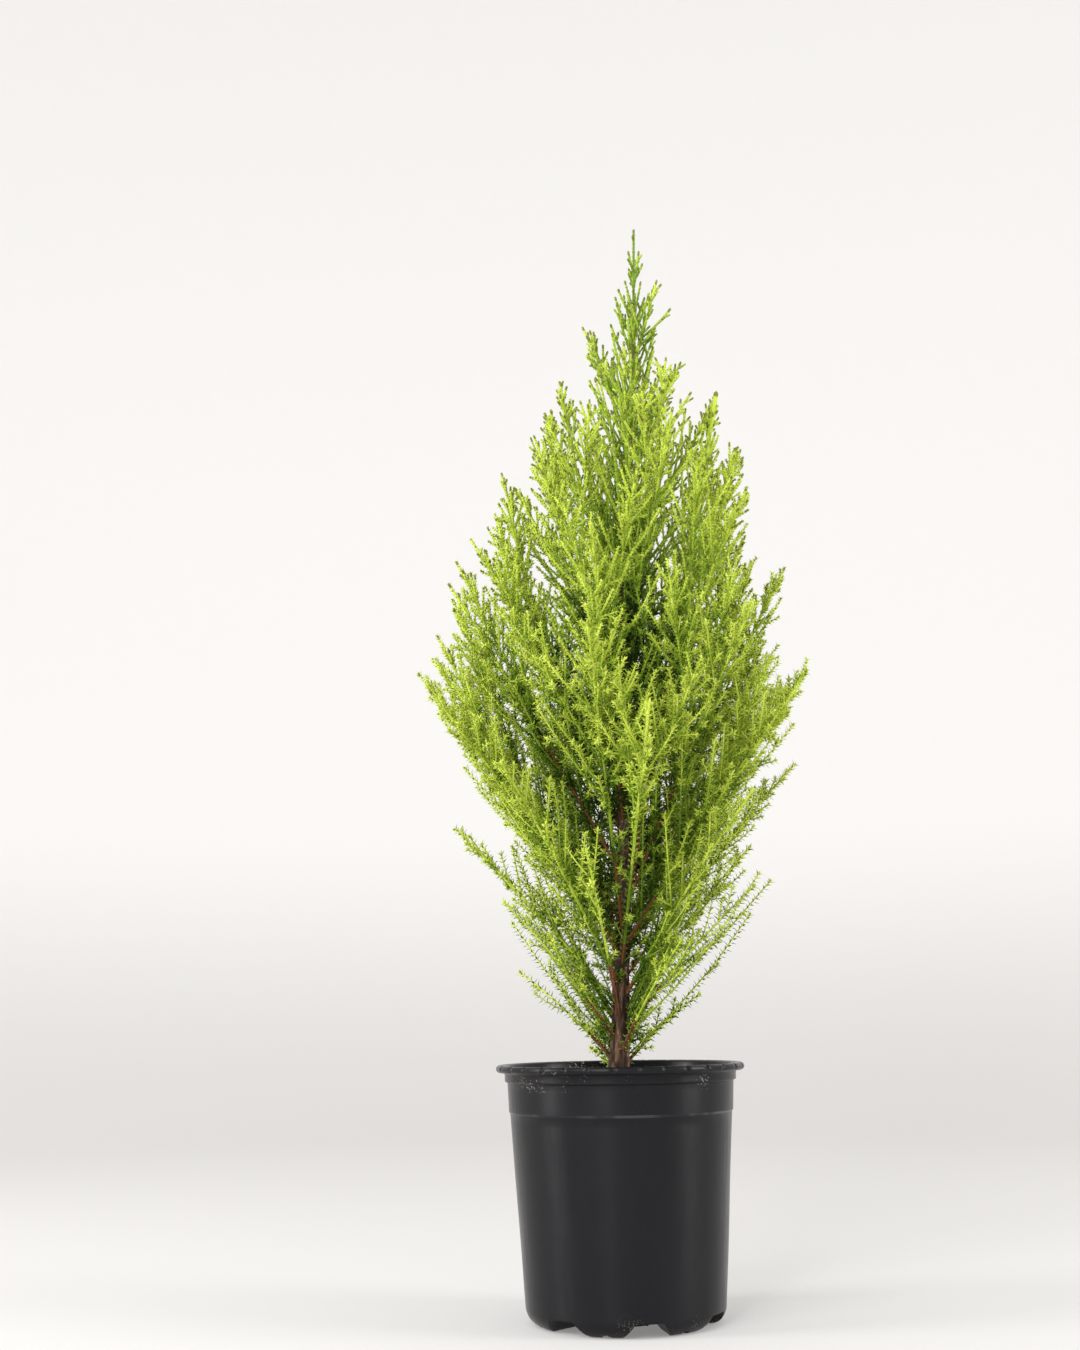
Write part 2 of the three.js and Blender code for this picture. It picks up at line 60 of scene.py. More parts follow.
LOG = logging.getLogger("lemon_cypress")
BODY = "root"
MM = 0.001
TURN = 2 * math.pi
GOLDEN_TURN = math.pi * (3 - math.sqrt(5))
UP = np.array([0.0, 0.0, 1.0])
TINY = 1e-12
SEED = 147
WORD_BITS = 32
WORD = np.uint64(2**WORD_BITS - 1)
SEED_FACTOR = 0x27D4EB2F
NUMBER_FACTORS = (0x9E3779B1, 0x85EBCA6B, 0xC2B2AE35)
STIRS = ((16, 0x7FEB352D), (15, 0x846CA68B))
LAST_SHIFT = 16
FIRST_ROW = 4096
LENGTH_POINTS = 13
MOST_TRIANGLES = 190_000
RELIEF = "relief"
FULL_LEVEL = 255
SRGB_KNEE = 0.04045
SRGB_SLOPE = 12.92
SRGB_OFFSET = 0.055
SRGB_POWER = 2.4


class Draw(IntEnum):
    """What each seeded share decides."""

    LIMB_TURN = 1
    LIMB_REACH = 2
    SHOOT_LEAN = 3
    SHOOT_REACH = 4
    SHOOT_KEPT = 5
    SIDE_LEAN = 6
    SIDE_REACH = 7
    SPRAY_TINT = 8
    NEEDLE_TURN = 9
    NEEDLE_SPLAY = 10
    NEEDLE_REACH = 11
    OLIVE_TIP = 12
    WINDOW_KEPT = 13
    INNER_KEPT = 14
    FOOT_TURN = 15
    FOOT_LEAN = 16
    PAINTED_SHADE_NEEDLE = 17
    LEAD = 18
    POT_WAVE = 30
    MIX_BUMPS = 40
    MIX_DENTS = 41
    TRUNK_BARK = 50
    BOUGH_BARK = 60


def lerp(low: float, high: float, share: Array) -> Array:
    """Returns the value a share of the way from low to high."""
    return low + (high - low) * share


def ease(low: float, high: float, value: Array) -> Array:
    """Returns 0 below low, 1 above high and a smooth rise between them."""
    share = np.clip((np.asarray(value, dtype=float) - low) / (high - low), 0.0, 1.0)
    return share * share * (3 - 2 * share)


def unit(ways: Array) -> Array:
    """Returns rows of vectors at length 1."""
    return ways / np.maximum(np.linalg.norm(ways, axis=-1, keepdims=True), TINY)


def dot(first: Array, second: Array) -> Array:
    """Returns the dot product of each row, kept as a column."""
    return np.sum(first * second, axis=-1, keepdims=True)


def outward(azimuth: Array) -> Array:
    """Returns level vectors that point along an azimuth."""
    azimuth = np.asarray(azimuth, dtype=float)
    return np.stack([np.cos(azimuth), np.sin(azimuth), np.zeros_like(azimuth)], axis=-1)


def leant(along: Array, facing: Array, angle: Array) -> Array:
    """Returns headings leant towards a facing by an angle."""
    return along * np.cos(angle)[..., None] + facing * np.sin(angle)[..., None]


def chance(limb: Array | int, twig: Array | int, use: int) -> Array:
    """Gives the seeded share that belongs to a limb, a twig and a use.

    Args:
        limb: Limb numbers.
        twig: Twig numbers on those limbs.
        use: What the share decides.

    Returns:
        Shares from 0 to 1, the same in every run.
    """
    mix = np.full(1, (SEED + 1) * SEED_FACTOR, dtype=np.uint64) & WORD
    for number, factor in zip((limb, twig, use), NUMBER_FACTORS):
        words = np.atleast_1d(np.asarray(number)).astype(np.uint64) + np.uint64(1)
        mix = mix ^ ((words * np.uint64(factor)) & WORD)
    for shift, factor in STIRS:
        mix = ((mix ^ (mix >> np.uint64(shift))) * np.uint64(factor)) & WORD
    return (mix ^ (mix >> np.uint64(LAST_SHIFT))) / 2.0**WORD_BITS


def jitter(spread: float, limb: Array | int, twig: Array | int, use: int) -> Array:
    """Returns seeded factors, spread evenly round 1."""
    return 1 + spread * (chance(limb, twig, use) - 0.5)


def ring_noise(round_share: Array, along: Array, cells: int, use: int) -> Array:
    """Gives smooth noise that closes on itself round a ring.

    Args:
        round_share: Place round the ring, as a share of a turn.
        along: Place along the ring's axis, in cells.
        cells: How many cells there are round the ring.
        use: Which noise this is.

    Returns:
        Values from -1 to 1.
    """
    across = np.asarray(round_share) * cells
    column = np.floor(across)
    row = np.floor(along)
    blend_across = ease(0.0, 1.0, across - column)
    blend_along = ease(0.0, 1.0, along - row)
    column = column.astype(int)
    row = row.astype(int) + FIRST_ROW
    corners = [chance(row + up, (column + over) % cells, use) for up in (0, 1) for over in (0, 1)]
    lower = lerp(corners[0], corners[1], blend_across)
    upper = lerp(corners[2], corners[3], blend_across)
    return 2 * lerp(lower, upper, blend_along) - 1


@dataclass(frozen=True)
class Bows:
    """Quadratic curves, one a row, from a start past a middle to an end."""

    start: Array
    middle: Array
    end: Array

    def __len__(self) -> int:
        """Returns how many curves there are."""
        return len(self.start)

    def pick(self, rows: Array) -> "Bows":
        """Returns the curves of some rows."""
        return Bows(self.start[rows], self.middle[rows], self.end[rows])

    def at(self, share: Array) -> Array:
        """Returns places on the curves, one row of shares for each curve."""
        part = share[..., None]
        low, middle, high = self.start[:, None], self.middle[:, None], self.end[:, None]
        return (1 - part) ** 2 * low + 2 * part * (1 - part) * middle + part**2 * high

    def heading(self, share: Array) -> Array:
        """Returns headings on the curves, one row of shares for each curve."""
        part = share[..., None]
        low, middle, high = self.start[:, None], self.middle[:, None], self.end[:, None]
        return unit((1 - part) * (middle - low) + part * (high - middle))

    def places(self, count: int) -> Array:
        """Returns evenly shared places along each curve."""
        return self.at(np.tile(np.linspace(0, 1, count), (len(self), 1)))

    def lengths(self) -> Array:
        """Returns the length of each curve."""
        return np.linalg.norm(np.diff(self.places(LENGTH_POINTS), axis=1), axis=2).sum(axis=1)

    def control(self, one: Array, two: Array) -> Array:
        """Gives the curves' control points for pairs of shares.

        Args:
            one: The first share for each curve.
            two: The second share for each curve.

        Returns:
            The points, one a row.
        """
        one, two = one[:, None], two[:, None]
        mixed = (1 - one) * two + one * (1 - two)
        return (1 - one) * (1 - two) * self.start + mixed * self.middle + one * two * self.end

    def stretch(self, first: Array, last: Array) -> "Bows":
        """Returns the part of each curve between two shares."""
        return Bows(self.control(first, first), self.control(first, last), self.control(last, last))


def joined_bows(groups: list[Bows]) -> Bows:
    """Returns several groups of curves as one."""
    ends = [(group.start, group.middle, group.end) for group in groups]
    return Bows(*(np.concatenate(rows) for rows in zip(*ends)))


def bent(root: Array, heading: Array, end_heading: Array, reach: Array) -> Bows:
    """Returns curves that leave their roots by one heading and end by another."""
    middle = root + heading * reach[:, None] / 2
    return Bows(root, middle, middle + end_heading * reach[:, None] / 2)


@dataclass(frozen=True)
class TrunkLine:
    """The trunk's course and thickness."""

    soil_level: float = 149.0
    plant_top: float = 765.0
    top: float = 706.0
    foot_radius: float = 6.3
    tip_radius: float = 1.3
    taper: float = 0.8
    root_flare: float = 2.6
    root_flare_height: float = 10.0
    lean: float = 27.0
    set_off: float = -1.5
    sway: float = 1.6
    sway_turns: float = 9.0
    nod_turns: float = 7.0
    nod_phase: float = 2.0

    def share(self, height: Array) -> Array:
        """Returns how far up the plant a height is."""
        return (np.asarray(height, dtype=float) - self.soil_level) / (self.plant_top - self.soil_level)

    def at(self, height: Array) -> Array:
        """Gives the trunk's course.

        Args:
            height: Heights over the ground.

        Returns:
            The trunk's middle at each.
        """
        share = self.share(height)
        across = self.set_off + self.lean * share + self.sway * np.sin(share * self.sway_turns)
        nod = self.sway * np.sin(share * self.nod_turns + self.nod_phase)
        return np.stack([across, nod, np.broadcast_to(height, np.shape(share))], axis=-1)

    def radius(self, height: Array) -> Array:
        """Returns the trunk's radius at heights over the ground."""
        left = np.maximum(1 - self.share(height), 0) ** (1 / self.taper)
        flare = np.exp((self.soil_level - np.asarray(height, dtype=float)) / self.root_flare_height)
        return lerp(self.tip_radius, self.foot_radius, left) + self.root_flare * flare


@dataclass(frozen=True)
class CrownOutline:
    """The spindle that the crown's tips reach, round the trunk."""

    foot: float = 155.0
    belly_height: float = 420.0
    belly_radius: float = 144.0
    foot_swell: float = 0.55
    top_swell: float = 1.25
    top: float = 765.0

    def radius(self, height: Array) -> Array:
        """Gives the outline.

        Args:
            height: Heights over the ground.

        Returns:
            How far from the trunk the tips reach at each.
        """
        height = np.asarray(height, dtype=float)
        low = np.clip((height - self.foot) / (self.belly_height - self.foot), 0, 1)
        high = np.clip((height - self.belly_height) / (self.top - self.belly_height), 0, 1)
        rising = self.belly_radius * low**self.foot_swell
        closing = self.belly_radius * (1 - high**self.top_swell)
        return np.where(height < self.belly_height, rising, closing)


@dataclass(frozen=True)
class Limb:
    """One limb: its course from the trunk to its tip, its thickness and its bare share."""

    index: int
    azimuth: float
    bow: Bows
    radius: float
    bare: float
    name: str


@dataclass(frozen=True)
class LimbRule:
    """The sizes that set where limbs leave the trunk and where their tips are.

    A pair gives a size at the crown's foot and at its top.
    """

    count: int = 45
    boughs: int = 8
    course_points: int = 14
    lowest_tip: int = 196
    highest_tip: int = 722
    tip_crowding: float = 70.0
    first_azimuth: float = math.radians(20)
    azimuth_jitter: float = math.radians(24)
    reach_least: float = 0.92
    reach_spread: float = 0.17
    rise: Span = (1.08, 2.1)
    rise_ease: float = 1.5
    arch: Span = (0.07, -0.02)
    lowest_join: float = 7.0
    join_step: float = 4.5
    bare_share: float = 0.3
    radius: Span = (1.9, 1.1)
    tip_radius: float = 0.5
    fork_join: float = 256.0
    fork_tip: float = 628.0
    fork_reach: float = 62.0
    fork_azimuth: float = math.radians(-12)
    fork_arch: float = -0.05
    fork_bare: float = 0.34
    fork_radius: float = 3.3
    fork_clearance: float = 7.0
    aside_step: float = math.radians(5)
    gap: float = 0.3
    trunk: TrunkLine = field(default_factory=TrunkLine)
    outline: CrownOutline = field(default_factory=CrownOutline)

    @property
    def leader_index(self) -> int:
        """Returns the leader's number, which the trunk's own shoots share."""
        return self.count + 1

    def tip_heights(self) -> Array:
        """Spreads the limbs' tips over the crown's surface.

        Returns:
            Tip heights that give each limb an equal share of it.
        """
        heights = np.arange(self.lowest_tip, self.highest_tip, dtype=float)
        passed = np.cumsum(self.outline.radius(heights) + self.tip_crowding)
        marks = passed[-1] * (np.arange(self.count) + 0.5) / self.count
        return heights[np.searchsorted(passed, marks)]

    def bow(self, start: Array, end: Array, arch: float) -> Bows:
        """Returns a curve whose middle is lifted by a share of its length."""
        middle = (start + end) / 2 + UP * arch * np.linalg.norm(end - start)
        return Bows(start[None], middle[None], end[None])

    def limb(self, index: int, tip_height: float, aside: float) -> Limb:
        """Grows one limb.

        Args:
            index: Its place in the order from the ground up.
            tip_height: The height of its tip.
            aside: How far it is turned aside to pass clear of the fork.

        Returns:
            The limb.
        """
        rank = (tip_height - self.lowest_tip) / (self.highest_tip - self.lowest_tip)
        turn = (chance(index, 0, Draw.LIMB_TURN)[0] - 0.5) * self.azimuth_jitter
        azimuth = self.first_azimuth + index * GOLDEN_TURN + turn + aside
        share = self.reach_least + self.reach_spread * chance(index, 0, Draw.LIMB_REACH)[0]
        reach = float(self.outline.radius(tip_height)) * share
        rise = reach * lerp(*self.rise, rank**self.rise_ease)
        lowest = self.trunk.soil_level + self.lowest_join + index * self.join_step
        tip = self.trunk.at(tip_height) + outward(azimuth) * reach
        start = self.trunk.at(max(tip_height - rise, lowest))
        bow = self.bow(start, tip, lerp(*self.arch, rank))
        radius = lerp(*self.radius, rank)
        bare = self.bare_share if index < self.boughs else 0.0
        return Limb(index, azimuth, bow, radius, bare, f"{index + 1:02d}")

    def fork(self) -> Limb:
        """Returns the second, steeper leader beside the trunk."""
        tip = self.trunk.at(self.fork_tip) + outward(self.fork_azimuth) * self.fork_reach
        bow = self.bow(self.trunk.at(self.fork_join), tip, self.fork_arch)
        return Limb(self.count, self.fork_azimuth, bow, self.fork_radius, self.fork_bare, "fork")

    def leader(self) -> Limb:
        """Returns the trunk's own shoot above its woody tip."""
        start = self.trunk.at(self.trunk.top + self.gap)
        bow = self.bow(start, self.trunk.at(self.trunk.plant_top), 0.0)
        return Limb(self.leader_index, 0.0, bow, self.trunk.tip_radius, 0.0, "leader")

    def is_clear(self, limb: Limb, fork: Limb) -> bool:
        """Tells whether a limb passes clear of the fork outside the trunk.

        Args:
            limb: The limb.
            fork: The second leader.

        Returns:
            True where it does all along.
        """
        places = limb.bow.places(self.course_points)[0]
        course = fork.bow.places(self.course_points)[0]
        steps = np.diff(course, axis=0)
        reach = places[:, None] - course[None, :-1]
        share = np.clip(np.sum(reach * steps, axis=2) / np.sum(steps * steps, axis=1), 0, 1)
        near = np.linalg.norm(reach - share[..., None] * steps, axis=2).min(axis=1)
        inside = np.linalg.norm(places - self.trunk.at(places[:, 2]), axis=1)
        is_in_trunk = inside < self.trunk.radius(places[:, 2]) + fork.radius
        return bool(np.all(is_in_trunk | (near > self.fork_clearance)))

    def grow(self) -> list[Limb]:
        """Grows every limb, turned aside where it would meet the fork.

        Returns:
            The limbs from the ground up, then the fork and the leader.
        """
        fork = self.fork()
        limbs = []
        for index, height in enumerate(self.tip_heights()):
            aside = 0.0
            limb = self.limb(index, float(height), aside)
            while not self.is_clear(limb, fork):
                aside += self.aside_step
                limb = self.limb(index, float(height), aside)
            limbs.append(limb)
        return [*limbs, fork, self.leader()]


class TwigOrder(Enum):
    """How far a twig is from the trunk, in branchings."""

    STEM = 0
    SHOOT = 1
    SIDE_SHOOT = 2


@dataclass(frozen=True)
class Twigs:
    """Many twigs of one order: their courses, limbs, own numbers and root radii."""

    order: TwigOrder
    bows: Bows
    facing: Array
    limb: Array
    serial: Array
    radius: Array

    def pick(self, rows: Array) -> "Twigs":
        """Returns the twigs of some rows."""
        return Twigs(self.order, self.bows.pick(rows), self.facing[rows], self.limb[rows],
                     self.serial[rows], self.radius[rows])


def joined_twigs(groups: list[Twigs]) -> Twigs:
    """Joins groups of twigs of one order.

    Args:
        groups: The groups.

    Returns:
        The twigs as one group.
    """
    bows = joined_bows([group.bows for group in groups])
    columns = [np.concatenate([getattr(group, name) for group in groups])
               for name in ("facing", "limb", "serial", "radius")]
    return Twigs(groups[0].order, bows, *columns)


def spiral_facing(along: Array, side: Array, angle: Array) -> Array:
    """Gives the way out of a twig at an angle round it.

    Args:
        along: The twig's headings.
        side: Ways that the angle is counted from.
        angle: Angles round the headings.

    Returns:
        Unit vectors square to the headings.
    """
    across = unit(side - along * dot(side, along))
    return leant(across, np.cross(along, across), angle)


@dataclass(frozen=True)
class CrownRule:
    """The sizes that set how shoots and side shoots follow from the limbs.

    A pair gives a size at both ends of its range: low and high in the crown, or least and most.
    """

    stem_step: float = 12.0
    shoot_every: int = 2
    first_turn: float = math.radians(60)
    shoot_share: float = 0.45
    shoot_least: Span = (28.0, 15.0)
    shoot_most: float = 84.0
    shoot_jitter: float = 0.4
    shoot_lean: float = math.radians(31)
    lean_jitter: float = 0.3
    shoot_lift: float = 0.5
    minor_share: float = 0.75
    family_shares: Sizes = (1.0, 0.8, 0.85)
    family_turns: Sizes = (0.0, math.pi, 1.9)
    family_offsets: Sizes = (0.0, 0.0, 0.5)
    family_serial: int = 500
    fan_reach: Span = (0.8, 1.25)
    fan_lean: Span = (0.9, 1.2)
    underside_share: float = 0.6
    underside_facing: Span = (-0.8, 0.1)
    plume_share: float = 0.58
    plume_tip: float = 7.0
    shoot_radius: float = 1.1
    side_pitch: Span = (34.8, 13.0)
    side_pitch_spire: float = 4.8
    short_heights: Span = (470.0, 640.0)
    dense_heights: Span = (250.0, 420.0)
    clad_count: int = 6
    clad_from: float = 0.2
    clad_serial: int = 900
    fullness: Span = (0.05, 0.35)
    window_points: int = 7
    window_half_width: float = 15.0
    window_side: float = 0.72
    window_top: float = 325.0
    window_share: float = 0.94
    branch_gaps: tuple[int, ...] = (8, 5)
    branch_lowest: float = 395.0
    branch_highest: float = 655.0
    branch_reach: float = 0.95
    branch_from: float = 0.55
    branch_arch: float = 0.04
    branch_radius: float = 1.0
    branch_serial: int = 2_000
    branch_bare: float = 0.3
    lead: Span = (16.0, 4.0)
    least_reach: float = 12.0
    inner_depth: float = 0.5
    inner_share: float = 0.5
    side_start: float = 6.0
    side_share: float = 0.34
    side_tip_reach: float = 4.0
    side_most: Span = (12.0, 6.8)
    side_lean: Span = (math.radians(42), math.radians(34))
    side_radius: float = 1.0
    side_curl: float = 0.4
    side_serial: int = 10_000
    side_numbers: int = 64
    trim_points: int = 10
    shortest: float = 4.0
    basal_from: float = 154.0
    basal_step: float = 8.0
    basal_reach: float = 124.0
    basal_left: float = 0.75
    foot_count: int = 30
    foot_from: float = 164.0
    foot_top: float = 200.0
    foot_spread: float = math.radians(120)
    foot_lean: Span = (0.75, 1.85)
    basal_lean: float = math.radians(31)
    front_clear: float = -0.8
    bare_tip: float = 30.0
    stub_reach: float = 4.4
    spire_from: float = 600.0
    spire_step: float = 3.2
    spire_share: float = 0.34
    trunk_shoots_from: float = 330.0
    trunk_serial: int = 20_000
    trunk_shoot_step: float = 2.1
    trunk_shoot_reach: float = 66.0
    trunk_shoot_lean: float = math.radians(26)
    outline_slack: Span = (7.0, 1.0)
    right_wider: float = 20.0
    right_wider_heights: Span = (310.0, 350.0)
    right_narrower: float = 13.0
    right_narrower_from: Span = (345.0, 375.0)
    right_narrower_to: Span = (475.0, 530.0)
    neck_narrower: float = 9.0
    neck_from: Span = (595.0, 620.0)
    neck_to: Span = (680.0, 705.0)
    trunk_margin: float = 3.0
    soil_margin: float = 5.0
    limbs: LimbRule = field(default_factory=LimbRule)

    def right_cut(self, height: Array) -> Array:
        """Returns how much less far the crown reaches on its right side than on its left."""
        return (self.right_narrower * ease(*self.right_narrower_from, height)
                * (1 - ease(*self.right_narrower_to, height)))

    def neck_cut(self, height: Array) -> Array:
        """Returns how much less far the crown reaches all round below its spire."""
        return self.neck_narrower * ease(*self.neck_from, height) * (1 - ease(*self.neck_to, height))

    def fitted(self, limb: Limb) -> Limb:
        """Cuts a limb back if it ends where the crown is narrower than the outline.

        Args:
            limb: The limb or branch.

        Returns:
            The limb, cut back or as it was.
        """
        height = limb.bow.end[0, 2]
        cut = float(self.right_cut(height)) * max(math.cos(limb.azimuth), 0.0)
        cut += float(self.neck_cut(height))
        if limb.index >= self.limbs.count or cut == 0.0:
            return limb
        last = 1 - cut / limb.bow.lengths()[0]
        return replace(limb, bow=limb.bow.stretch(np.zeros(1), np.array([last])), bare=limb.bare / last)

    def trimmed(self, twigs: Twigs) -> Twigs:
        """Shortens twigs that leave the crown or run into the trunk, and drops what is too short.

        Args:
            twigs: The twigs.

        Returns:
            Those that are left, as long as they may be.
        """
        count = self.trim_points
        places = twigs.bows.places(count)
        trunk = self.limbs.trunk
        height = places[..., 2]
        away = places[..., :2] - trunk.at(height)[..., :2]
        out = np.linalg.norm(away, axis=-1)
        slack = lerp(*self.outline_slack, ease(*self.short_heights, height))
        wider = self.right_wider * (1 - ease(*self.right_wider_heights, height))
        rightward = np.clip(away[..., 0] / np.maximum(out, self.least_reach), 0, 1)
        slack = slack + rightward * (wider - self.right_cut(height)) - self.neck_cut(height)
        is_out = out > self.limbs.outline.radius(height) + slack
        is_in = (out < trunk.radius(height) + self.trunk_margin) & (height < trunk.top)
        is_in = is_in & (out < np.roll(out, 1, axis=1))
        is_low = height < trunk.soil_level + self.soil_margin
        bad = is_out | is_low | is_in
        bad[:, 0] = False
        stop = np.where(bad.any(axis=1), np.maximum(bad.argmax(axis=1) - 1, 0), count - 1)
        last = stop / (count - 1)
        kept = replace(twigs, bows=twigs.bows.stretch(np.zeros(len(last)), last))
        return kept.pick(np.flatnonzero(kept.bows.lengths() > self.shortest))

    def opened(self, twigs: Twigs) -> Twigs:
        """Drops most twigs that stand in front of the lower trunk, which shows there.

        Args:
            twigs: The twigs.

        Returns:
            Those that are left.
        """
        places = twigs.bows.places(self.window_points)
        height = places[..., 2]
        aside = np.abs(places[..., 0] - self.limbs.trunk.at(height)[..., 0])
        is_front = (places[..., 1] < 0) & (aside < self.window_half_width) & (height < self.window_top)
        is_beside = np.abs(twigs.facing[:, 0]) > self.window_side
        is_beside = is_beside & (twigs.limb == self.limbs.leader_index)
        is_dropped = chance(twigs.limb, twigs.serial, Draw.WINDOW_KEPT) < self.window_share
        is_dropped = is_dropped & is_front.any(axis=1) & ~is_beside
        return twigs.pick(np.flatnonzero(~is_dropped))

    def depth(self, places: Array) -> Array:
        """Returns how far out places are: 0 at the trunk, 1 at the outline."""
        trunk = self.limbs.trunk.at(places[:, 2])
        out = np.linalg.norm(places[:, :2] - trunk[:, :2], axis=1)
        return out / np.maximum(self.limbs.outline.radius(places[:, 2]), self.least_reach)

    def branches(self, limbs: list[Limb]) -> list[Limb]:
        """Grows branches off the limbs into the gaps between them.

        Args:
            limbs: The limbs, from the ground up.

        Returns:
            The branches, each under its limb's own number.
        """
        rule = self.limbs
        branches = []
        own = limbs[:rule.count]
        pairs = [pair for gap in self.branch_gaps for pair in zip(own, own[gap:])]
        for low, high in pairs:
            height = (low.bow.end[0, 2] + high.bow.end[0, 2]) / 2
            if not self.branch_lowest < height < self.branch_highest:
                continue
            azimuth = low.azimuth + math.remainder(high.azimuth - low.azimuth, TURN) / 2
            reach = float(rule.outline.radius(height)) * self.branch_reach
            start = low.bow.at(np.array([[self.branch_from]]))[0, 0]
            bow = rule.bow(start, rule.trunk.at(height) + outward(azimuth) * reach, self.branch_arch)
            branches.append(Limb(low.index, azimuth, bow, self.branch_radius, 0.0, low.name))
        return branches

    def stems(self, limbs: list[Limb]) -> Twigs:
        """Turns limbs into stems, past their bare boughs and on to a leading shoot.

        Args:
            limbs: The limbs and branches.

        Returns:
            The stems.
        """
        bows = joined_bows([limb.bow for limb in limbs])
        bare = np.array([limb.bare for limb in limbs])
        index = np.array([limb.index for limb in limbs])
        side = outward(np.array([limb.azimuth for limb in limbs]) + TURN / 4)
        radius = np.array([lerp(limb.radius, self.limbs.tip_radius, limb.bare) for limb in limbs])
        lead = lerp(*self.lead, ease(*self.short_heights, bows.end[:, 2]))
        rightward = np.clip([math.cos(limb.azimuth) for limb in limbs], 0, 1)
        lead = lead * (1 - rightward * self.right_cut(bows.end[:, 2]) / self.right_narrower)
        lead = lead * chance(index, 0, Draw.LEAD) * (index < self.limbs.leader_index)
        course = bows.stretch(bare, 1 + lead / bows.lengths())
        return Twigs(TwigOrder.STEM, course, side, index, index, radius)

    def clad_boughs(self, limbs: list[Limb]) -> Twigs:
        """Finds the stretches of the lowest boughs that carry needles down to near the trunk.

        Args:
            limbs: The limbs, from the ground up.

        Returns:
            Those stretches as stems.
        """
        low = [limb for limb in limbs if limb.index < self.clad_count]
        bows = joined_bows([limb.bow for limb in low])
        bare = np.array([limb.bare for limb in low])
        index = np.array([limb.index for limb in low])
        side = outward(np.array([limb.azimuth for limb in low]) + TURN / 4)
        radius = np.array([limb.radius for limb in low])
        course = bows.stretch(bare * self.clad_from, bare)
        return Twigs(TwigOrder.STEM, course, side, index, self.clad_serial + index, radius)

    def shoots_of(self, limb: Limb, bare: float, serial: int) -> Twigs:
        """Grows the shoots of one limb: the source's, shorter ones between them and opposite them.

        Args:
            limb: The limb or branch.
            bare: The share of it, from its root, that carries none.
            serial: The number that its shoots' own numbers start at.

        Returns:
            The shoots.
        """
        length = limb.bow.lengths()[0]
        steps = max(2, round(length * (1 - bare) / self.stem_step))
        families = len(self.family_shares)
        step = np.tile(np.arange(1, steps), families)
        family = np.repeat(np.arange(families), steps - 1)
        twig = serial + step + family * self.family_serial
        share = lerp(bare, 1.0, (step + np.array(self.family_offsets)[family]) / steps)
        along = limb.bow.heading(share[None])[0]
        root = limb.bow.at(share[None])[0]
        side = np.broadcast_to(outward(limb.azimuth + TURN / 4), along.shape)
        angle = step * GOLDEN_TURN + self.first_turn + np.array(self.family_turns)[family]
        facing = spiral_facing(along, side, angle)
        fan = dot(facing, side)[:, 0] ** 2
        lean = self.shoot_lean * jitter(self.lean_jitter, limb.index, twig, Draw.SHOOT_LEAN)
        lean = lean * lerp(*self.fan_lean, fan)
        heading = leant(along, facing, lean)
        rest = length * (1 - share)
        luck = jitter(self.shoot_jitter, limb.index, twig, Draw.SHOOT_REACH)
        least = lerp(*self.shoot_least, ease(*self.short_heights, limb.bow.end[0, 2]))
        reach = np.minimum((self.shoot_share * rest + least) * luck, self.shoot_most)
        reach = np.minimum(reach, self.plume_share * rest + self.plume_tip)
        reach = reach * np.where(step % self.shoot_every == 0, 1.0, self.minor_share)
        reach = reach * np.array(self.family_shares)[family] * lerp(*self.fan_reach, fan)
        is_extra = (family > 0) | (step % self.shoot_every != 0)
        sunny = (math.cos(limb.azimuth) + 1) / 2
        density = ease(*self.dense_heights, limb.bow.end[0, 2])
        fullness = lerp(lerp(*self.fullness, sunny), 1.0, density)
        is_missing = is_extra & (chance(limb.index, twig, Draw.SHOOT_KEPT) > fullness)
        reach = reach * np.where(is_missing, 0.0, 1.0)
        reach = reach * lerp(self.underside_share, 1.0, ease(*self.underside_facing, facing[:, 2]))
        is_leader = limb.index == self.limbs.leader_index
        reach = np.where(is_leader & (rest < self.bare_tip), 0.0, reach)
        bows = bent(root, heading, unit(heading + UP * self.shoot_lift), reach)
        index = np.full(len(twig), limb.index)
        return Twigs(TwigOrder.SHOOT, bows, facing, index, twig, np.full(len(twig), self.shoot_radius))

    def trunk_shoots(self) -> Twigs:
        """Grows shoots out of the trunk: fans at its foot, sparse ones over them and close ones above.

        Returns:
            The shoots, under the leader's number.
        """
        trunk = self.limbs.trunk
        low = np.arange(self.basal_from, self.trunk_shoots_from, self.basal_step)
        high = np.arange(self.trunk_shoots_from, self.spire_from, self.trunk_shoot_step)
        spire = np.arange(self.spire_from, trunk.top, self.spire_step)
        foot = np.linspace(self.foot_from, self.foot_top, self.foot_count)
        height = np.concatenate([low, high, spire, foot])
        is_foot = np.arange(len(height)) >= len(height) - self.foot_count
        is_low = height < self.trunk_shoots_from
        serial = self.trunk_serial + np.arange(len(height))
        limb = np.full(len(height), self.limbs.leader_index)
        fan = serial % 2 * TURN / 2 + (chance(limb, serial, Draw.FOOT_TURN) - 0.5) * self.foot_spread
        turn = np.where(is_foot, fan, serial * GOLDEN_TURN)
        facing = outward(turn)
        root = trunk.at(height) + facing * trunk.radius(height)[:, None]
        lean = np.where(is_low, self.basal_lean, self.trunk_shoot_lean)
        foot_lean = lerp(*self.foot_lean, chance(limb, serial, Draw.FOOT_LEAN))
        lean = np.where(is_foot, lean * foot_lean, lean)
        lean = lean * jitter(self.lean_jitter, limb, serial, Draw.SHOOT_LEAN)
        heading = leant(UP, facing, lean)
        luck = jitter(self.shoot_jitter, limb, serial, Draw.SHOOT_REACH)
        basal = self.basal_reach * lerp(self.basal_left, 1.0, (facing[:, 0] + 1) / 2)
        reach = np.where(is_low, basal, self.trunk_shoot_reach)
        reach = np.minimum(reach, self.spire_share * (trunk.plant_top - height)) * luck
        reach = np.where(is_low & (facing[:, 1] < self.front_clear), 0.0, reach)
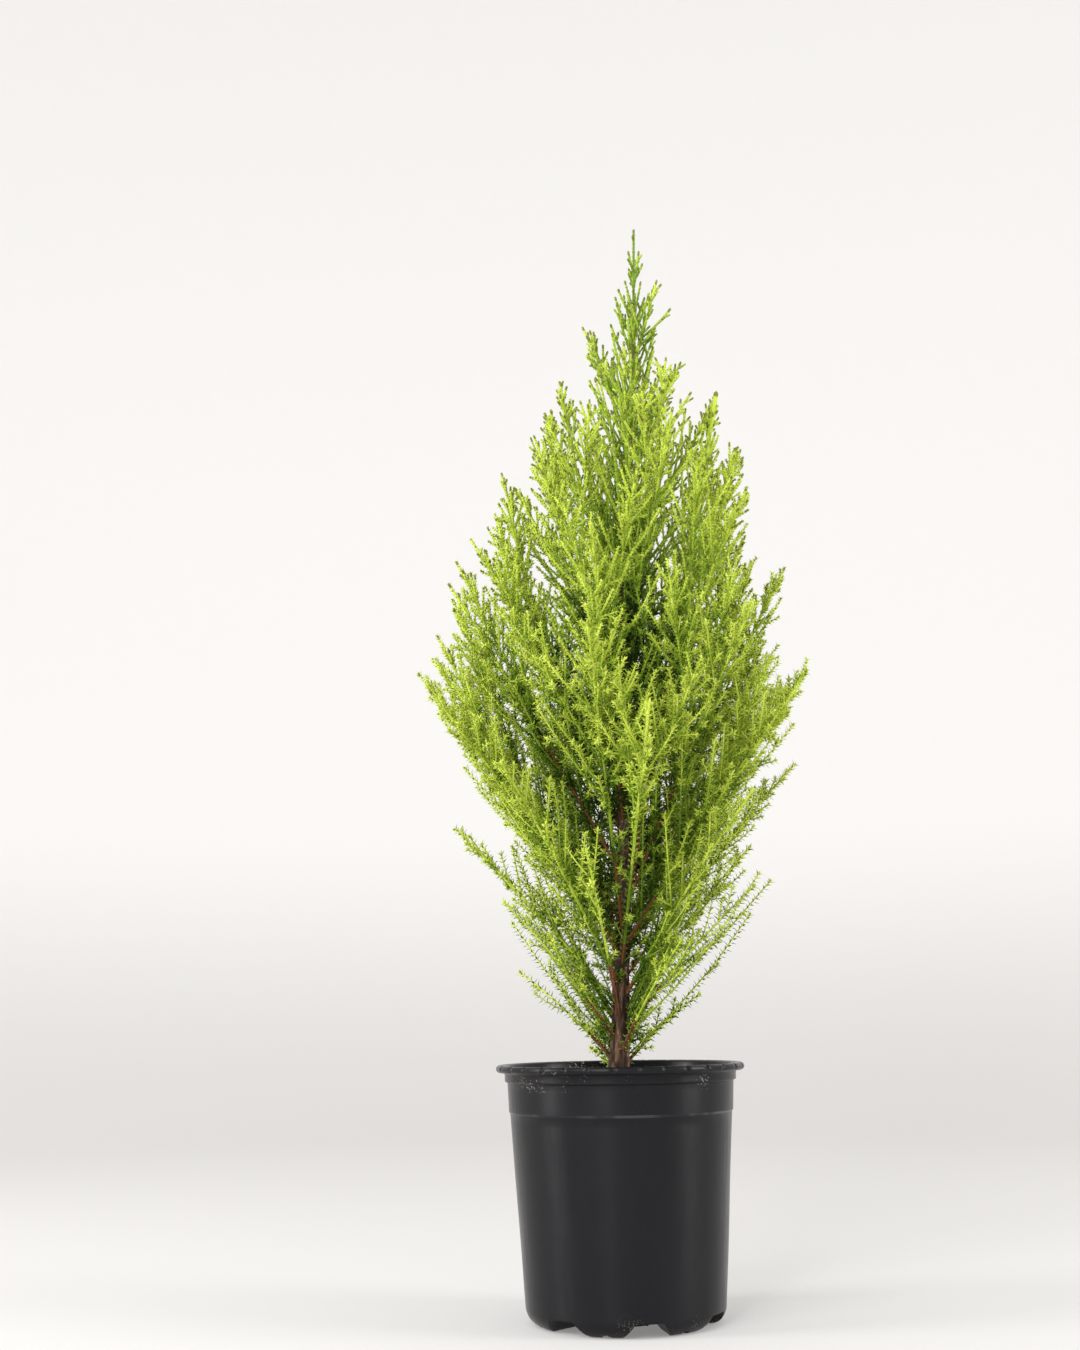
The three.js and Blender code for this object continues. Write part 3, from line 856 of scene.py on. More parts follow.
        bows = bent(root, heading, unit(heading + UP * self.shoot_lift), reach)
        radius = np.full(len(height), self.shoot_radius)
        return Twigs(TwigOrder.SHOOT, bows, facing, limb, serial, radius)

    def side_shoots(self, twigs: Twigs) -> Twigs:
        """Grows side shoots in a spiral round twigs, shorter towards each tip.

        Args:
            twigs: Stems or shoots.

        Returns:
            The side shoots.
        """
        length = twigs.bows.lengths()
        rise = ease(*self.dense_heights, twigs.bows.end[:, 2])
        spire = ease(*self.short_heights, twigs.bows.end[:, 2])
        pitch = lerp(lerp(*self.side_pitch, rise), self.side_pitch_spire, spire)
        counts = np.maximum((length - self.side_start) / pitch, 0).astype(int)
        rows = np.repeat(np.arange(len(length)), counts)
        place = np.concatenate([np.arange(count) for count in counts])
        from_root = self.side_start + place * pitch[rows]
        share = from_root / length[rows]
        parents = twigs.bows.pick(rows)
        along = parents.heading(share[:, None])[:, 0]
        root = parents.at(share[:, None])[:, 0]
        limb = twigs.limb[rows]
        serial = self.side_serial * (1 + twigs.order.value) + twigs.serial[rows] * self.side_numbers + place
        facing = spiral_facing(along, twigs.facing[rows], place * GOLDEN_TURN)
        lean = lerp(*self.side_lean, spire[rows])
        lean = lean * jitter(self.lean_jitter, limb, serial, Draw.SIDE_LEAN)
        heading = leant(along, facing, lean)
        luck = jitter(self.shoot_jitter, limb, serial, Draw.SIDE_REACH)
        rest = length[rows] - from_root
        most = lerp(*self.side_most, spire[rows])
        reach = np.minimum(self.side_share * rest + self.side_tip_reach, most)
        is_leader = (limb == self.limbs.leader_index) & (twigs.order is TwigOrder.STEM)
        is_inner = (self.depth(root) < self.inner_depth) & (root[:, 2] > self.trunk_shoots_from)
        is_bare = is_inner & (chance(limb, serial, Draw.INNER_KEPT) > self.inner_share)
        reach = np.where(is_leader & (rest < self.bare_tip), self.stub_reach, reach * luck)
        reach = np.where(is_bare, 0.0, reach)
        bows = bent(root, heading, unit(heading + along * self.side_curl), reach)
        radius = np.full(len(rows), self.side_radius)
        return Twigs(TwigOrder.SIDE_SHOOT, bows, facing, limb, serial, radius)


class Tint(Enum):
    """Plain colours, dealt out by spray from the lit tips to the crown's inside: partly the young and old
    growth's own colours, partly painted light and painted shade.
    """

    TIP = (200, 216, 88)
    LIME = (182, 200, 72)
    LEAF = (152, 177, 56)
    DEEP = (106, 134, 36)
    SHADE = (52, 76, 18)
    OLIVE = (110, 118, 50)
    RED_WOOD = (126, 74, 48)

    @property
    def linear(self) -> Light:
        """Returns the colour as light, with full cover."""
        return screen(*self.value)


def to_linear(level: float) -> float:
    """Returns the light of a screen level from 0 to 1, by the sRGB curve."""
    if level <= SRGB_KNEE:
        return level / SRGB_SLOPE
    return ((level + SRGB_OFFSET) / (1 + SRGB_OFFSET)) ** SRGB_POWER


def screen(red: int, green: int, blue: int) -> Light:
    """Returns a screen colour as light, with full cover."""
    return (*(to_linear(level / FULL_LEVEL) for level in (red, green, blue)), 1.0)


@dataclass(frozen=True)
class PlainFinish:
    """A plain leaf or twig colour with a soft gloss."""

    tint: Tint
    roughness: float = 0.6
    specular: float = 0.12

    def material(self) -> Material:
        """Makes the finish, once.

        Returns:
            The material.
        """
        name = f"needle_{self.tint.name.lower()}"
        found = bpy.data.materials.get(name)
        if found is not None:
            return found
        material = bpy.data.materials.new(name)
        material.use_nodes = True
        shader = material.node_tree.nodes["Principled BSDF"]
        shader.inputs["Base Color"].default_value = self.tint.linear
        shader.inputs["Roughness"].default_value = self.roughness
        shader.inputs["Specular IOR Level"].default_value = self.specular
        return material


# The colour sockets of a Mix node, by place.
COLOUR_MIX_INPUTS = (0, 6, 7)
COLOUR_MIX_OUTPUT = 2


class Graph:
    """A node tree that is filled by short calls."""

    def __init__(self, tree: NodeTree) -> None:
        """Keeps the tree."""
        self.tree = tree

    def add(self, kind: str, inputs: dict[str | int, object] | None = None, **settings: object) -> Node:
        """Adds a node.

        Args:
            kind: The node's type.
            inputs: Values, or other nodes' outputs, for its inputs by name or by place.
            settings: Its own options.

        Returns:
            The node.
        """
        node = self.tree.nodes.new(kind)
        for name, value in settings.items():
            setattr(node, name, value)
        for name, value in (inputs or {}).items():
            self.feed(node.inputs[name], value)
        return node

    def feed(self, socket: NodeSocket, value: object) -> None:
        """Sets an input's value, or joins an output to it.

        Args:
            socket: The input.
            value: A plain value or another node's output.
        """
        if isinstance(value, NodeSocket):
            self.tree.links.new(value, socket)
        else:
            socket.default_value = value

    def math(self, operation: str, first: object, second: object) -> NodeSocket:
        """Returns the outcome of one sum."""
        node = self.add("ShaderNodeMath", {0: first, 1: second}, operation=operation)
        return node.outputs[0]

    def spread(self, value: NodeSocket, low: float, high: float, to_low: float,
               to_high: float) -> NodeSocket:
        """Returns a value carried smoothly from one range to another."""
        ends = {"Value": value, "From Min": low, "From Max": high, "To Min": to_low, "To Max": to_high}
        return self.add("ShaderNodeMapRange", ends, interpolation_type="SMOOTHSTEP").outputs[0]

    def mix(self, share: object, first: object, second: object) -> NodeSocket:
        """Returns a colour between two others."""
        sockets = dict(zip(COLOUR_MIX_INPUTS, (share, first, second)))
        return self.add("ShaderNodeMix", sockets, data_type="RGBA").outputs[COLOUR_MIX_OUTPUT]


def add_sockets(tree: NodeTree, in_out: str, **kinds: str) -> None:
    """Gives a node group named inputs or outputs, each of a kind."""
    for name, kind in kinds.items():
        tree.interface.new_socket(name, in_out=in_out, socket_type=f"NodeSocket{kind}")


# Proportions inside the shared effects.
BROAD_SCALE = 0.17
BROAD_DETAIL = 2.0
FINE_DETAIL = 4.0
FINE_ROUGHNESS = 0.6
PATCH_SCALE = 0.08
PATCH_DETAIL = 3.0
PATCH_RANGE = (0.4, 0.75)
SPECK_BLUR = 0.12


class SurfaceEffect(Enum):
    """Effects that several finishes share, each a shader node group."""

    DRAWN_GRAIN = "drawn_grain"
    SPECKS = "specks"

    def group(self) -> NodeTree:
        """Makes the effect's group, once.

        Returns:
            The group.
        """
        found = bpy.data.node_groups.get(self.value)
        if found is not None:
            return found
        tree = bpy.data.node_groups.new(self.value, "ShaderNodeTree")
        add_sockets(tree, "INPUT", Vector="Vector")
        if self is SurfaceEffect.DRAWN_GRAIN:
            self.drawn_grain(tree)
        else:
            self.specks(tree)
        return tree

    def drawn_grain(self, tree: NodeTree) -> None:
        """Fills the group for grain that is drawn out along the height.

        Args:
            tree: The group.
        """
        add_sockets(tree, "INPUT", Scale="Float", Draw="Float")
        add_sockets(tree, "OUTPUT", Fine="Float", Broad="Float")
        graph = Graph(tree)
        given = graph.add("NodeGroupInput").outputs
        squeeze = graph.add("ShaderNodeCombineXYZ", {0: 1.0, 1: 1.0, 2: given["Draw"]})
        drawn = graph.add("ShaderNodeVectorMath", {0: given["Vector"], 1: squeeze.outputs[0]},
                          operation="MULTIPLY")
        coarse = graph.math("MULTIPLY", given["Scale"], BROAD_SCALE)
        fine = graph.add("ShaderNodeTexNoise", {"Vector": drawn.outputs[0], "Scale": given["Scale"],
                                                "Detail": FINE_DETAIL, "Roughness": FINE_ROUGHNESS})
        broad = graph.add("ShaderNodeTexNoise", {"Vector": drawn.outputs[0], "Scale": coarse,
                                                 "Detail": BROAD_DETAIL})
        graph.add("NodeGroupOutput", {"Fine": fine.outputs[0], "Broad": broad.outputs[0]})

    def specks(self, tree: NodeTree) -> None:
        """Fills the group for small scattered specks of uneven size.

        Args:
            tree: The group.
        """
        add_sockets(tree, "INPUT", Scale="Float", Cover="Float")
        add_sockets(tree, "OUTPUT", Mask="Float")
        graph = Graph(tree)
        given = graph.add("NodeGroupInput").outputs
        cells = graph.add("ShaderNodeTexVoronoi", {"Vector": given["Vector"], "Scale": given["Scale"]})
        patches = graph.math("MULTIPLY", given["Scale"], PATCH_SCALE)
        cloud = graph.add("ShaderNodeTexNoise", {"Vector": given["Vector"], "Scale": patches,
                                                 "Detail": PATCH_DETAIL})
        cover = graph.spread(cloud.outputs[0], *PATCH_RANGE, 0.0, 1.0)
        reach = graph.math("MULTIPLY", cover, given["Cover"])
        inside = graph.math("SUBTRACT", reach, cells.outputs["Distance"])
        graph.add("NodeGroupOutput", {"Mask": graph.spread(inside, 0.0, SPECK_BLUR, 0.0, 1.0)})


class NodeFinish:
    """A finish made of nodes round one glossy shader."""

    def __init__(self, name: str) -> None:
        """Starts the material.

        Args:
            name: The material's name.
        """
        self.material = bpy.data.materials.new(name)
        self.material.use_nodes = True
        self.graph = Graph(self.material.node_tree)
        self.shader = self.material.node_tree.nodes["Principled BSDF"]
        self.place = self.graph.add("ShaderNodeTexCoord").outputs["Object"]

    def effect(self, effect: SurfaceEffect, **values: float) -> NodeOutputs:
        """Places a shared effect.

        Args:
            effect: The effect.
            values: Its values by name.

        Returns:
            Its outputs.
        """
        node = self.graph.add("ShaderNodeGroup", node_tree=effect.group())
        self.graph.feed(node.inputs["Vector"], self.place)
        for name, value in values.items():
            node.inputs[name].default_value = value
        return node.outputs

    def height(self) -> NodeSocket:
        """Returns the height over the ground, in metres."""
        return self.graph.add("ShaderNodeSeparateXYZ", {0: self.place}).outputs["Z"]

    def bump(self, height: NodeSocket, strength: float, depth: float) -> None:
        """Raises the surface by a height of a strength and a depth in metres."""
        node = self.graph.add("ShaderNodeBump", {"Height": height, "Strength": strength, "Distance": depth})
        self.graph.feed(self.shader.inputs["Normal"], node.outputs[0])

    def feed(self, **sockets: object) -> Material:
        """Feeds the shader's sockets, with underscores for spaces, and returns the material."""
        for name, value in sockets.items():
            self.graph.feed(self.shader.inputs[name.replace("_", " ")], value)
        return self.material


@dataclass(frozen=True)
class PlasticFinish:
    """Near-black moulded plastic: faint streaks, a painted highlight along the step, and specks of dust at
    rim and foot.
    """

    dark: Colour = (12, 12, 15)
    pale: Colour = (21, 22, 26)
    dust: Colour = (134, 127, 118)
    # The pale colour of the painted highlight on the step's edge.
    step_highlight_colour: Colour = (66, 67, 71)
    rim_height: float = 0.143
    rim_blur: float = 0.010
    foot_height: float = 0.016
    step_heights: Span = (0.1312, 0.1322)
    step_blur: float = 0.0006
    grain_scale: float = 260.0
    grain_draw: float = 0.16
    speck_scale: float = 640.0
    speck_cover: float = 0.4
    foot_dust: float = 0.6
    least_dust: float = 0.015
    # How the grain breaks up the painted highlight on the step.
    highlight_grain: Span = (0.42, 0.62)
    highlight_cover: Span = (0.15, 0.9)
    gloss_grain: Span = (0.3, 0.7)
    roughness: Span = (0.3, 0.38)
    dust_dullness: float = 0.4
    bump_strength: float = 0.12
    bump_depth: float = 0.0004
    specular: float = 0.2
    anisotropy: float = 0.75
    anisotropy_turn: float = 0.25

    def material(self) -> Material:
        """Makes the finish.

        Returns:
            The material.
        """
        finish = NodeFinish("pot_plastic")
        graph = finish.graph
        grain = finish.effect(SurfaceEffect.DRAWN_GRAIN, Scale=self.grain_scale, Draw=self.grain_draw)
        specks = finish.effect(SurfaceEffect.SPECKS, Scale=self.speck_scale, Cover=self.speck_cover)
        height = finish.height()
        near_rim = graph.spread(height, self.rim_height, self.rim_height + self.rim_blur, 0.0, 1.0)
        near_foot = graph.spread(height, 0.0, self.foot_height, self.foot_dust, 0.0)
        where = graph.math("MAXIMUM", near_rim, near_foot)
        where = graph.math("MAXIMUM", where, self.least_dust)
        dusty = graph.math("MULTIPLY", specks["Mask"], where)
        plastic = graph.mix(grain["Broad"], screen(*self.dark), screen(*self.pale))
        # A thin pale band on the step's edge is a painted highlight: the edge's glint, broken up by the
        # grain.
        low, high = self.step_heights
        over_step = graph.spread(height, low - self.step_blur, low, 0.0, 1.0)
        under_step = graph.spread(height, high, high + self.step_blur, 1.0, 0.0)
        step_highlight = graph.math("MULTIPLY", over_step, under_step)
        patchy = graph.spread(grain["Broad"], *self.highlight_grain, *self.highlight_cover)
        step_highlight = graph.math("MULTIPLY", step_highlight, patchy)
        plastic = graph.mix(step_highlight, plastic, screen(*self.step_highlight_colour))
        gloss = graph.spread(grain["Fine"], *self.gloss_grain, *self.roughness)
        dull = graph.math("MULTIPLY", dusty, self.dust_dullness)
        finish.bump(graph.math("ADD", grain["Fine"], specks["Mask"]), self.bump_strength, self.bump_depth)
        return finish.feed(Base_Color=graph.mix(dusty, plastic, screen(*self.dust)),
                           Roughness=graph.math("ADD", gloss, dull), Specular_IOR_Level=self.specular,
                           Anisotropic=self.anisotropy, Anisotropic_Rotation=self.anisotropy_turn)


@dataclass(frozen=True)
class BarkFinish:
    """Fibrous bark: dark in its grooves, paler on its ridges, with drawn-out strands; by the relief, partly
    its own colour and partly painted shade in the grooves and painted light on the ridges.
    """

    name: str
    groove: Colour
    ridge: Colour
    strand: Colour
    scale: float = 900.0
    draw: float = 0.1
    fleck: Colour = (158, 138, 122)
    fleck_scale: float = 480.0
    young: Colour = (128, 128, 58)
    young_heights: Span = (0.42, 0.62)
    young_cover: float = 0.85
    strand_grain: Span = (0.5, 0.68)
    ridge_grain: Span = (0.3, 0.7)
    ridge_gain: Span = (0.45, 1.15)
    fleck_cover: float = 0.42
    roughness: Span = (0.78, 0.95)
    bump_strength: float = 0.5
    bump_depth: float = 0.0006
    specular: float = 0.2

    def material(self) -> Material:
        """Makes the finish.

        Returns:
            The material.
        """
        finish = NodeFinish(self.name)
        graph = finish.graph
        grain = finish.effect(SurfaceEffect.DRAWN_GRAIN, Scale=self.scale, Draw=self.draw)
        relief = graph.add("ShaderNodeAttribute", attribute_name=RELIEF).outputs["Fac"]
        strands = graph.spread(grain["Fine"], *self.strand_grain, 0.0, 1.0)
        gain = graph.spread(grain["Broad"], *self.ridge_grain, *self.ridge_gain)
        # Mixing by the relief darkens the grooves and lightens the ridges: partly the bark's own colour,
        # partly painted shade and painted light.
        raised = graph.math("MULTIPLY", relief, gain)
        bark = graph.mix(raised, screen(*self.groove), screen(*self.ridge))
        # Pale strands only on the raised ridges are partly painted light.
        lit = graph.math("MULTIPLY", strands, relief)
        bark = graph.mix(lit, bark, screen(*self.strand))
        flecks = finish.effect(SurfaceEffect.SPECKS, Scale=self.fleck_scale, Cover=self.fleck_cover)
        bark = graph.mix(graph.math("MULTIPLY", flecks["Mask"], relief), bark, screen(*self.fleck))
        age = graph.spread(finish.height(), *self.young_heights, 0.0, self.young_cover)
        finish.bump(grain["Fine"], self.bump_strength, self.bump_depth)
        return finish.feed(Base_Color=graph.mix(age, bark, screen(*self.young)),
                           Roughness=graph.spread(grain["Broad"], *self.ridge_grain, *self.roughness),
                           Specular_IOR_Level=self.specular)


@dataclass(frozen=True)
class MixFinish:
    """Damp potting mix or its chips: dark peat, paler fibre and pale crumbs."""

    name: str
    peat: Colour
    fibre: Colour
    crumb: Colour
    grain_scale: float = 700.0
    speck_scale: float = 520.0
    speck_cover: float = 0.4
    fibre_grain: Span = (0.35, 0.65)
    gloss_grain: Span = (0.3, 0.7)
    roughness: Span = (0.8, 0.97)
    bump_strength: float = 0.8
    bump_depth: float = 0.001
    specular: float = 0.15

    def material(self) -> Material:
        """Makes the finish.

        Returns:
            The material.
        """
        finish = NodeFinish(self.name)
        graph = finish.graph
        grain = finish.effect(SurfaceEffect.DRAWN_GRAIN, Scale=self.grain_scale, Draw=1.0)
        specks = finish.effect(SurfaceEffect.SPECKS, Scale=self.speck_scale, Cover=self.speck_cover)
        fibrous = graph.spread(grain["Broad"], *self.fibre_grain, 0.0, 1.0)
        earth = graph.mix(fibrous, screen(*self.peat), screen(*self.fibre))
        finish.bump(grain["Fine"], self.bump_strength, self.bump_depth)
        return finish.feed(Base_Color=graph.mix(specks["Mask"], earth, screen(*self.crumb)),
                           Roughness=graph.spread(grain["Fine"], *self.gloss_grain, *self.roughness),
                           Specular_IOR_Level=self.specular)


def mesh_piece(name: str, places: Array, faces: Array, materials: list[Material]) -> Object:
    """Makes a mesh object from arrays.

    Args:
        name: The piece's name.
        places: Vertices in millimetres.
        faces: Rows of vertex numbers, all of the same length.
        materials: Its material slots.

    Returns:
        The object, linked to the scene.
    """
    mesh = bpy.data.meshes.new(name)
    corners = faces.shape[1]
    mesh.vertices.add(len(places))
    mesh.vertices.foreach_set("co", (places * MM).astype(np.float32).ravel())
    mesh.loops.add(faces.size)
    mesh.loops.foreach_set("vertex_index", faces.astype(np.int32).ravel())
    mesh.polygons.add(len(faces))
    mesh.polygons.foreach_set("loop_start", np.arange(len(faces), dtype=np.int32) * corners)
    mesh.update(calc_edges=True)
    for material in materials:
        mesh.materials.append(material)
    piece = bpy.data.objects.new(name, mesh)
    bpy.context.scene.collection.objects.link(piece)
    return piece


def shade_smooth(piece: Object, sharp_angle: float) -> None:
    """Smooths a piece's shading, except across edges sharper than an angle in radians."""
    mesh = piece.data
    mesh.polygons.foreach_set("use_smooth", np.ones(len(mesh.polygons), dtype=bool))
    mesh.set_sharp_from_angle(angle=sharp_angle)


def seat(piece: Object, nodes: list[str]) -> Object:
    """Ties a piece to the plant's body and hides the solids that it stands for.

    Args:
        piece: The piece.
        nodes: The solids' names.

    Returns:
        The piece.
    """
    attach(piece, BODY)
    if nodes:
        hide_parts(*nodes)
    LOG.info("%s: %d faces", piece.name, len(piece.data.polygons))
    return piece


def skin_faces(rings: int, sides: int) -> Array:
    """Gives the triangles of a skin of rings that a point closes at each end.

    Args:
        rings: How many rings there are.
        sides: Corners of each ring.

    Returns:
        Triangles that number the rings' corners first, then the two points.
    """
    ring = np.arange(rings - 1)[:, None] * sides
    here = np.arange(sides)
    after = (here + 1) % sides
    low, low_next = ring + here, ring + after
    high, high_next = low + sides, low_next + sides
    wall = np.concatenate([np.stack([low, low_next, high_next], axis=-1).reshape(-1, 3),
                           np.stack([low, high_next, high], axis=-1).reshape(-1, 3)])
    root, tip = rings * sides, rings * sides + 1
    top = (rings - 1) * sides
    caps = np.concatenate([np.stack([after, here, np.full(sides, root)], axis=-1),
                           np.stack([top + here, top + after, np.full(sides, tip)], axis=-1)])
    return np.concatenate([wall, caps])


def grid_faces(rows: int, columns: int) -> Array:
    """Gives the quads of a grid that closes on itself along its rows.

    Args:
        rows: How many rows there are.
        columns: Corners of each row.

    Returns:
        Rows of four corners.
    """
    row = np.arange(rows - 1)[:, None] * columns
    here = np.arange(columns)
    after = (here + 1) % columns
    quads = np.stack([row + here, row + after, row + after + columns, row + here + columns], axis=-1)
    return quads.reshape(-1, 4)


def tube_arrays(places: Array, headings: Array, side: Array, radius: Array,
                sides: int) -> tuple[Array, Array]:
    """Sweeps closed, pointed tubes along courses.

    Args:
        places: Course points, by tube and by ring.
        headings: Unit headings at those points.
        side: A way out of each tube.
        radius: Radii, by tube, by ring and, where they differ, by corner.
        sides: Corners of each ring.

    Returns:
        Vertices and triangles of all the tubes.
    """
    tubes, rings = places.shape[:2]
    angle = np.arange(sides) / sides * TURN
    spread = np.broadcast_to(side[:, None, None], (tubes, rings, sides, 3))
    facing = spiral_facing(headings[:, :, None], spread, np.broadcast_to(angle, (tubes, rings, sides)))
    spread_radius = radius if radius.ndim == 3 else radius[:, :, None]
    skin = places[:, :, None] + facing * spread_radius[..., None]
    point = headings[:, -1] * spread_radius[:, -1].mean(axis=1)[:, None]
    ends = np.stack([places[:, 0], places[:, -1] + point], axis=1)
    vertices = np.concatenate([skin.reshape(tubes, -1, 3), ends], axis=1)
    pattern = skin_faces(rings, sides)
    offsets = np.arange(tubes)[:, None, None] * vertices.shape[1]
    return vertices.reshape(-1, 3), (pattern[None] + offsets).reshape(-1, 3)


@dataclass(frozen=True)
class NeedleRule:
    """The sizes of needles and how they stand on a twig."""

    heights: Sizes = (220.0, 400.0, 600.0)
    whorl: int = 3
    pitches: Sizes = (3.1, 2.2, 1.9)
    reaches: Sizes = (4.4, 3.6, 1.7)
    splays: Sizes = (1.2, 1.0, 0.46)
    tip_splays: Sizes = (0.95, 0.95, 0.42)
    tip_reaches: Sizes = (0.95, 1.2, 0.9)
    bud_reaches: Sizes = (3.9, 3.4, 1.7)
    core_shares: Sizes = (0.62, 0.66, 0.8)
    core_tapers: Sizes = (0.6, 0.75, 0.95)
    seat_share: float = 0.7
    inner_pitch: float = 1.8
    inner_reach: float = 1.2
    widest: float = 1.55
    keel_share: float = 0.1
    widest_at: float = 0.32
    turn_jitter: float = 0.3
    reach_jitter: float = 0.2
    splay_jitter: float = 0.16
    bud_needles: int = 7
    bud_length: float = 3.2
    bud_splays: Span = (math.radians(62), math.radians(22))
    bud_taper: float = 0.6
    inner_exposure: Span = (0.3, 0.6)
    tip_zone: float = 9.0
    least_width: float = 0.35
    whorl_numbers: int = 128
    spray_numbers: int = 16
    olive_share: float = 0.8
    spray_length: float = 9.0

    def at(self, height: Array, values: Sizes) -> Array:
        """Returns a size at each height from its values at the rule's own heights."""
        return np.interp(height, self.heights, values)


@dataclass
class Needles:
    """Needles in arrays: four vertices each, with the limb and the tint that each belongs to."""

    vertices: Array
    limb: Array
    tint: Array


TINTS = list(Tint)
NEEDLE_TINTS = TINTS[:TINTS.index(Tint.RED_WOOD)]
# The corners of a needle are its root, its tip and its two edges.
BLADE = np.array([[0, 3, 2], [1, 2, 3], [0, 1, 3], [0, 2, 1]])


@dataclass
class Foliage:
    """The crown: stems, shoots, side shoots and their needles."""

    rule: CrownRule = field(default_factory=CrownRule)
    needle: NeedleRule = field(default_factory=NeedleRule)
    # Levels that deal painted light and shade into the tints, on top of the growth's own colour.
    shade_share: float = 0.31
    deep_share: float = 0.52
    leaf_share: float = 0.73
    luck_share: float = 0.34
    tip_gain: float = 0.36
    tip_gain_shares: Span = (0.1, 0.9)
    tip_level: float = 1.0
    tip_from: float = 0.45
    tip_luck: float = 0.4
    low_light: float = 0.3
    low_light_heights: Span = (230.0, 350.0)
    # Share of low needles that get painted shade.
    painted_shade_needles: float = 0.75
    even_heights: Span = (410.0, 580.0)
    even_level: float = 0.86
    even_share: float = 0.35
    crest_level: float = 0.7
    crest_heights: Span = (590.0, 720.0)
    green_from: float = 0.5
    wood_top: float = 440.0
    skins: dict[TwigOrder, tuple[int, int]] = field(default_factory=lambda: {
        TwigOrder.STEM: (12, 6), TwigOrder.SHOOT: (5, 4), TwigOrder.SIDE_SHOOT: (3, 4)})
    tip_length: float = 2.8
    tip_most: float = 0.5
    tip_tinted: float = 0.8
    twig_sharpness: float = math.radians(80)
    olive_heights: Span = (400.0, 540.0)

    def grow(self, limbs: list[Limb]) -> list[Twigs]:
        """Grows every order of twig on the limbs.

        Args:
            limbs: The limbs, from the ground up.

        Returns:
            Stems, shoots and side shoots.
        """
        limbs = [self.rule.fitted(limb) for limb in limbs]
        branches = [self.rule.fitted(branch) for branch in self.rule.branches(limbs)]
        stems = self.rule.stems([*limbs, *branches])
        grown = [self.rule.shoots_of(limb, limb.bare, 0) for limb in limbs]
        grown += [self.rule.shoots_of(branch, self.rule.branch_bare, self.rule.branch_serial)
                  for branch in branches]
        shoots = self.rule.trimmed(joined_twigs([*grown, self.rule.trunk_shoots()]))
        shoots = self.rule.opened(shoots)
        sides = [self.rule.side_shoots(group) for group in (stems, shoots)]
        sides = self.rule.trimmed(joined_twigs(sides))
        for group in (stems, shoots, sides):
            metres = group.bows.lengths().sum() * MM
            LOG.info("%s: %d twigs, %.1f m", group.order.name, len(group.bows), metres)
        return [stems, shoots, sides]

    def exposure(self, places: Array) -> Array:
        """Returns how lit places are: 0 at the trunk, 1 at the outline, and more near the open foot."""
        low = self.low_light * (1 - ease(*self.low_light_heights, places[:, 2]))
        return self.rule.depth(places) + low

    def tints(self, twigs: Twigs, rows: Array, places: Array, share: Array, from_root: Array) -> Array:
        """Deals a colour to each spray of needles, partly its own colour and partly painted light and
        painted shade by how lit it is.

        Args:
            twigs: The twigs that carry the needles.
            rows: Each needle's twig.
            places: Each needle's root.
            share: How far along its twig each needle is.
            from_root: The same in millimetres.

        Returns:
            Numbers in the list of tints.
        """
        spray = (from_root / self.needle.spray_length).astype(int)
        number = twigs.serial[rows] * self.needle.spray_numbers + spray
        luck = chance(twigs.limb[rows], number, Draw.SPRAY_TINT)
        # The level of light sets the tint: painted shade inside the crown, painted light at its outline and
        # open foot, on top of the inner growth's own darker green.
        level = self.exposure(places) + self.luck_share * (luck - 0.5)
        # Painted shade at each shoot's base and painted light towards its tip, with the young tips' own
        # paler green.
        level = level + self.tip_gain * (ease(*self.tip_gain_shares, share) - 0.5)
        # Higher up, the painted light and shade are evened out, and held lower near the crest.
        evenness = ease(*self.even_heights, places[:, 2])
        even = lerp(self.even_level, self.crest_level, ease(*self.crest_heights, places[:, 2]))
        level = lerp(level, even + self.even_share * (level - self.even_level), evenness)
        tint = np.full(len(rows), TINTS.index(Tint.LIME))
        bounds = {Tint.LEAF: self.leaf_share, Tint.DEEP: self.deep_share, Tint.SHADE: self.shade_share}
        for darker, bound in bounds.items():
            tint[level < bound] = TINTS.index(darker)
        is_tip = (level > self.tip_level) & (share > self.tip_from) & (luck > self.tip_luck)
        tint[is_tip] = TINTS.index(Tint.TIP)
        return tint

    def is_olive(self, twigs: Twigs, rows: Array, height: Array) -> Array:
        """Returns which twigs have olive tips, more of them higher up."""
        most = self.needle.olive_share * ease(*self.olive_heights, height)
        return chance(twigs.limb[rows], twigs.serial[rows], Draw.OLIVE_TIP) < most

    def core_radius(self, twigs: Twigs, rows: Array, share: Array) -> Array:
        """Gives the thickness of twigs.

        Args:
            twigs: The twigs.
            rows: Which of them.
            share: Shares of their lengths.

        Returns:
            The radius at each share.
        """
        height = twigs.bows.end[:, 2]
        foot = twigs.radius * self.needle.at(height, self.needle.core_shares)
        taper = self.needle.at(height, self.needle.core_tapers)
        return foot[rows] * lerp(1.0, taper[rows], share)

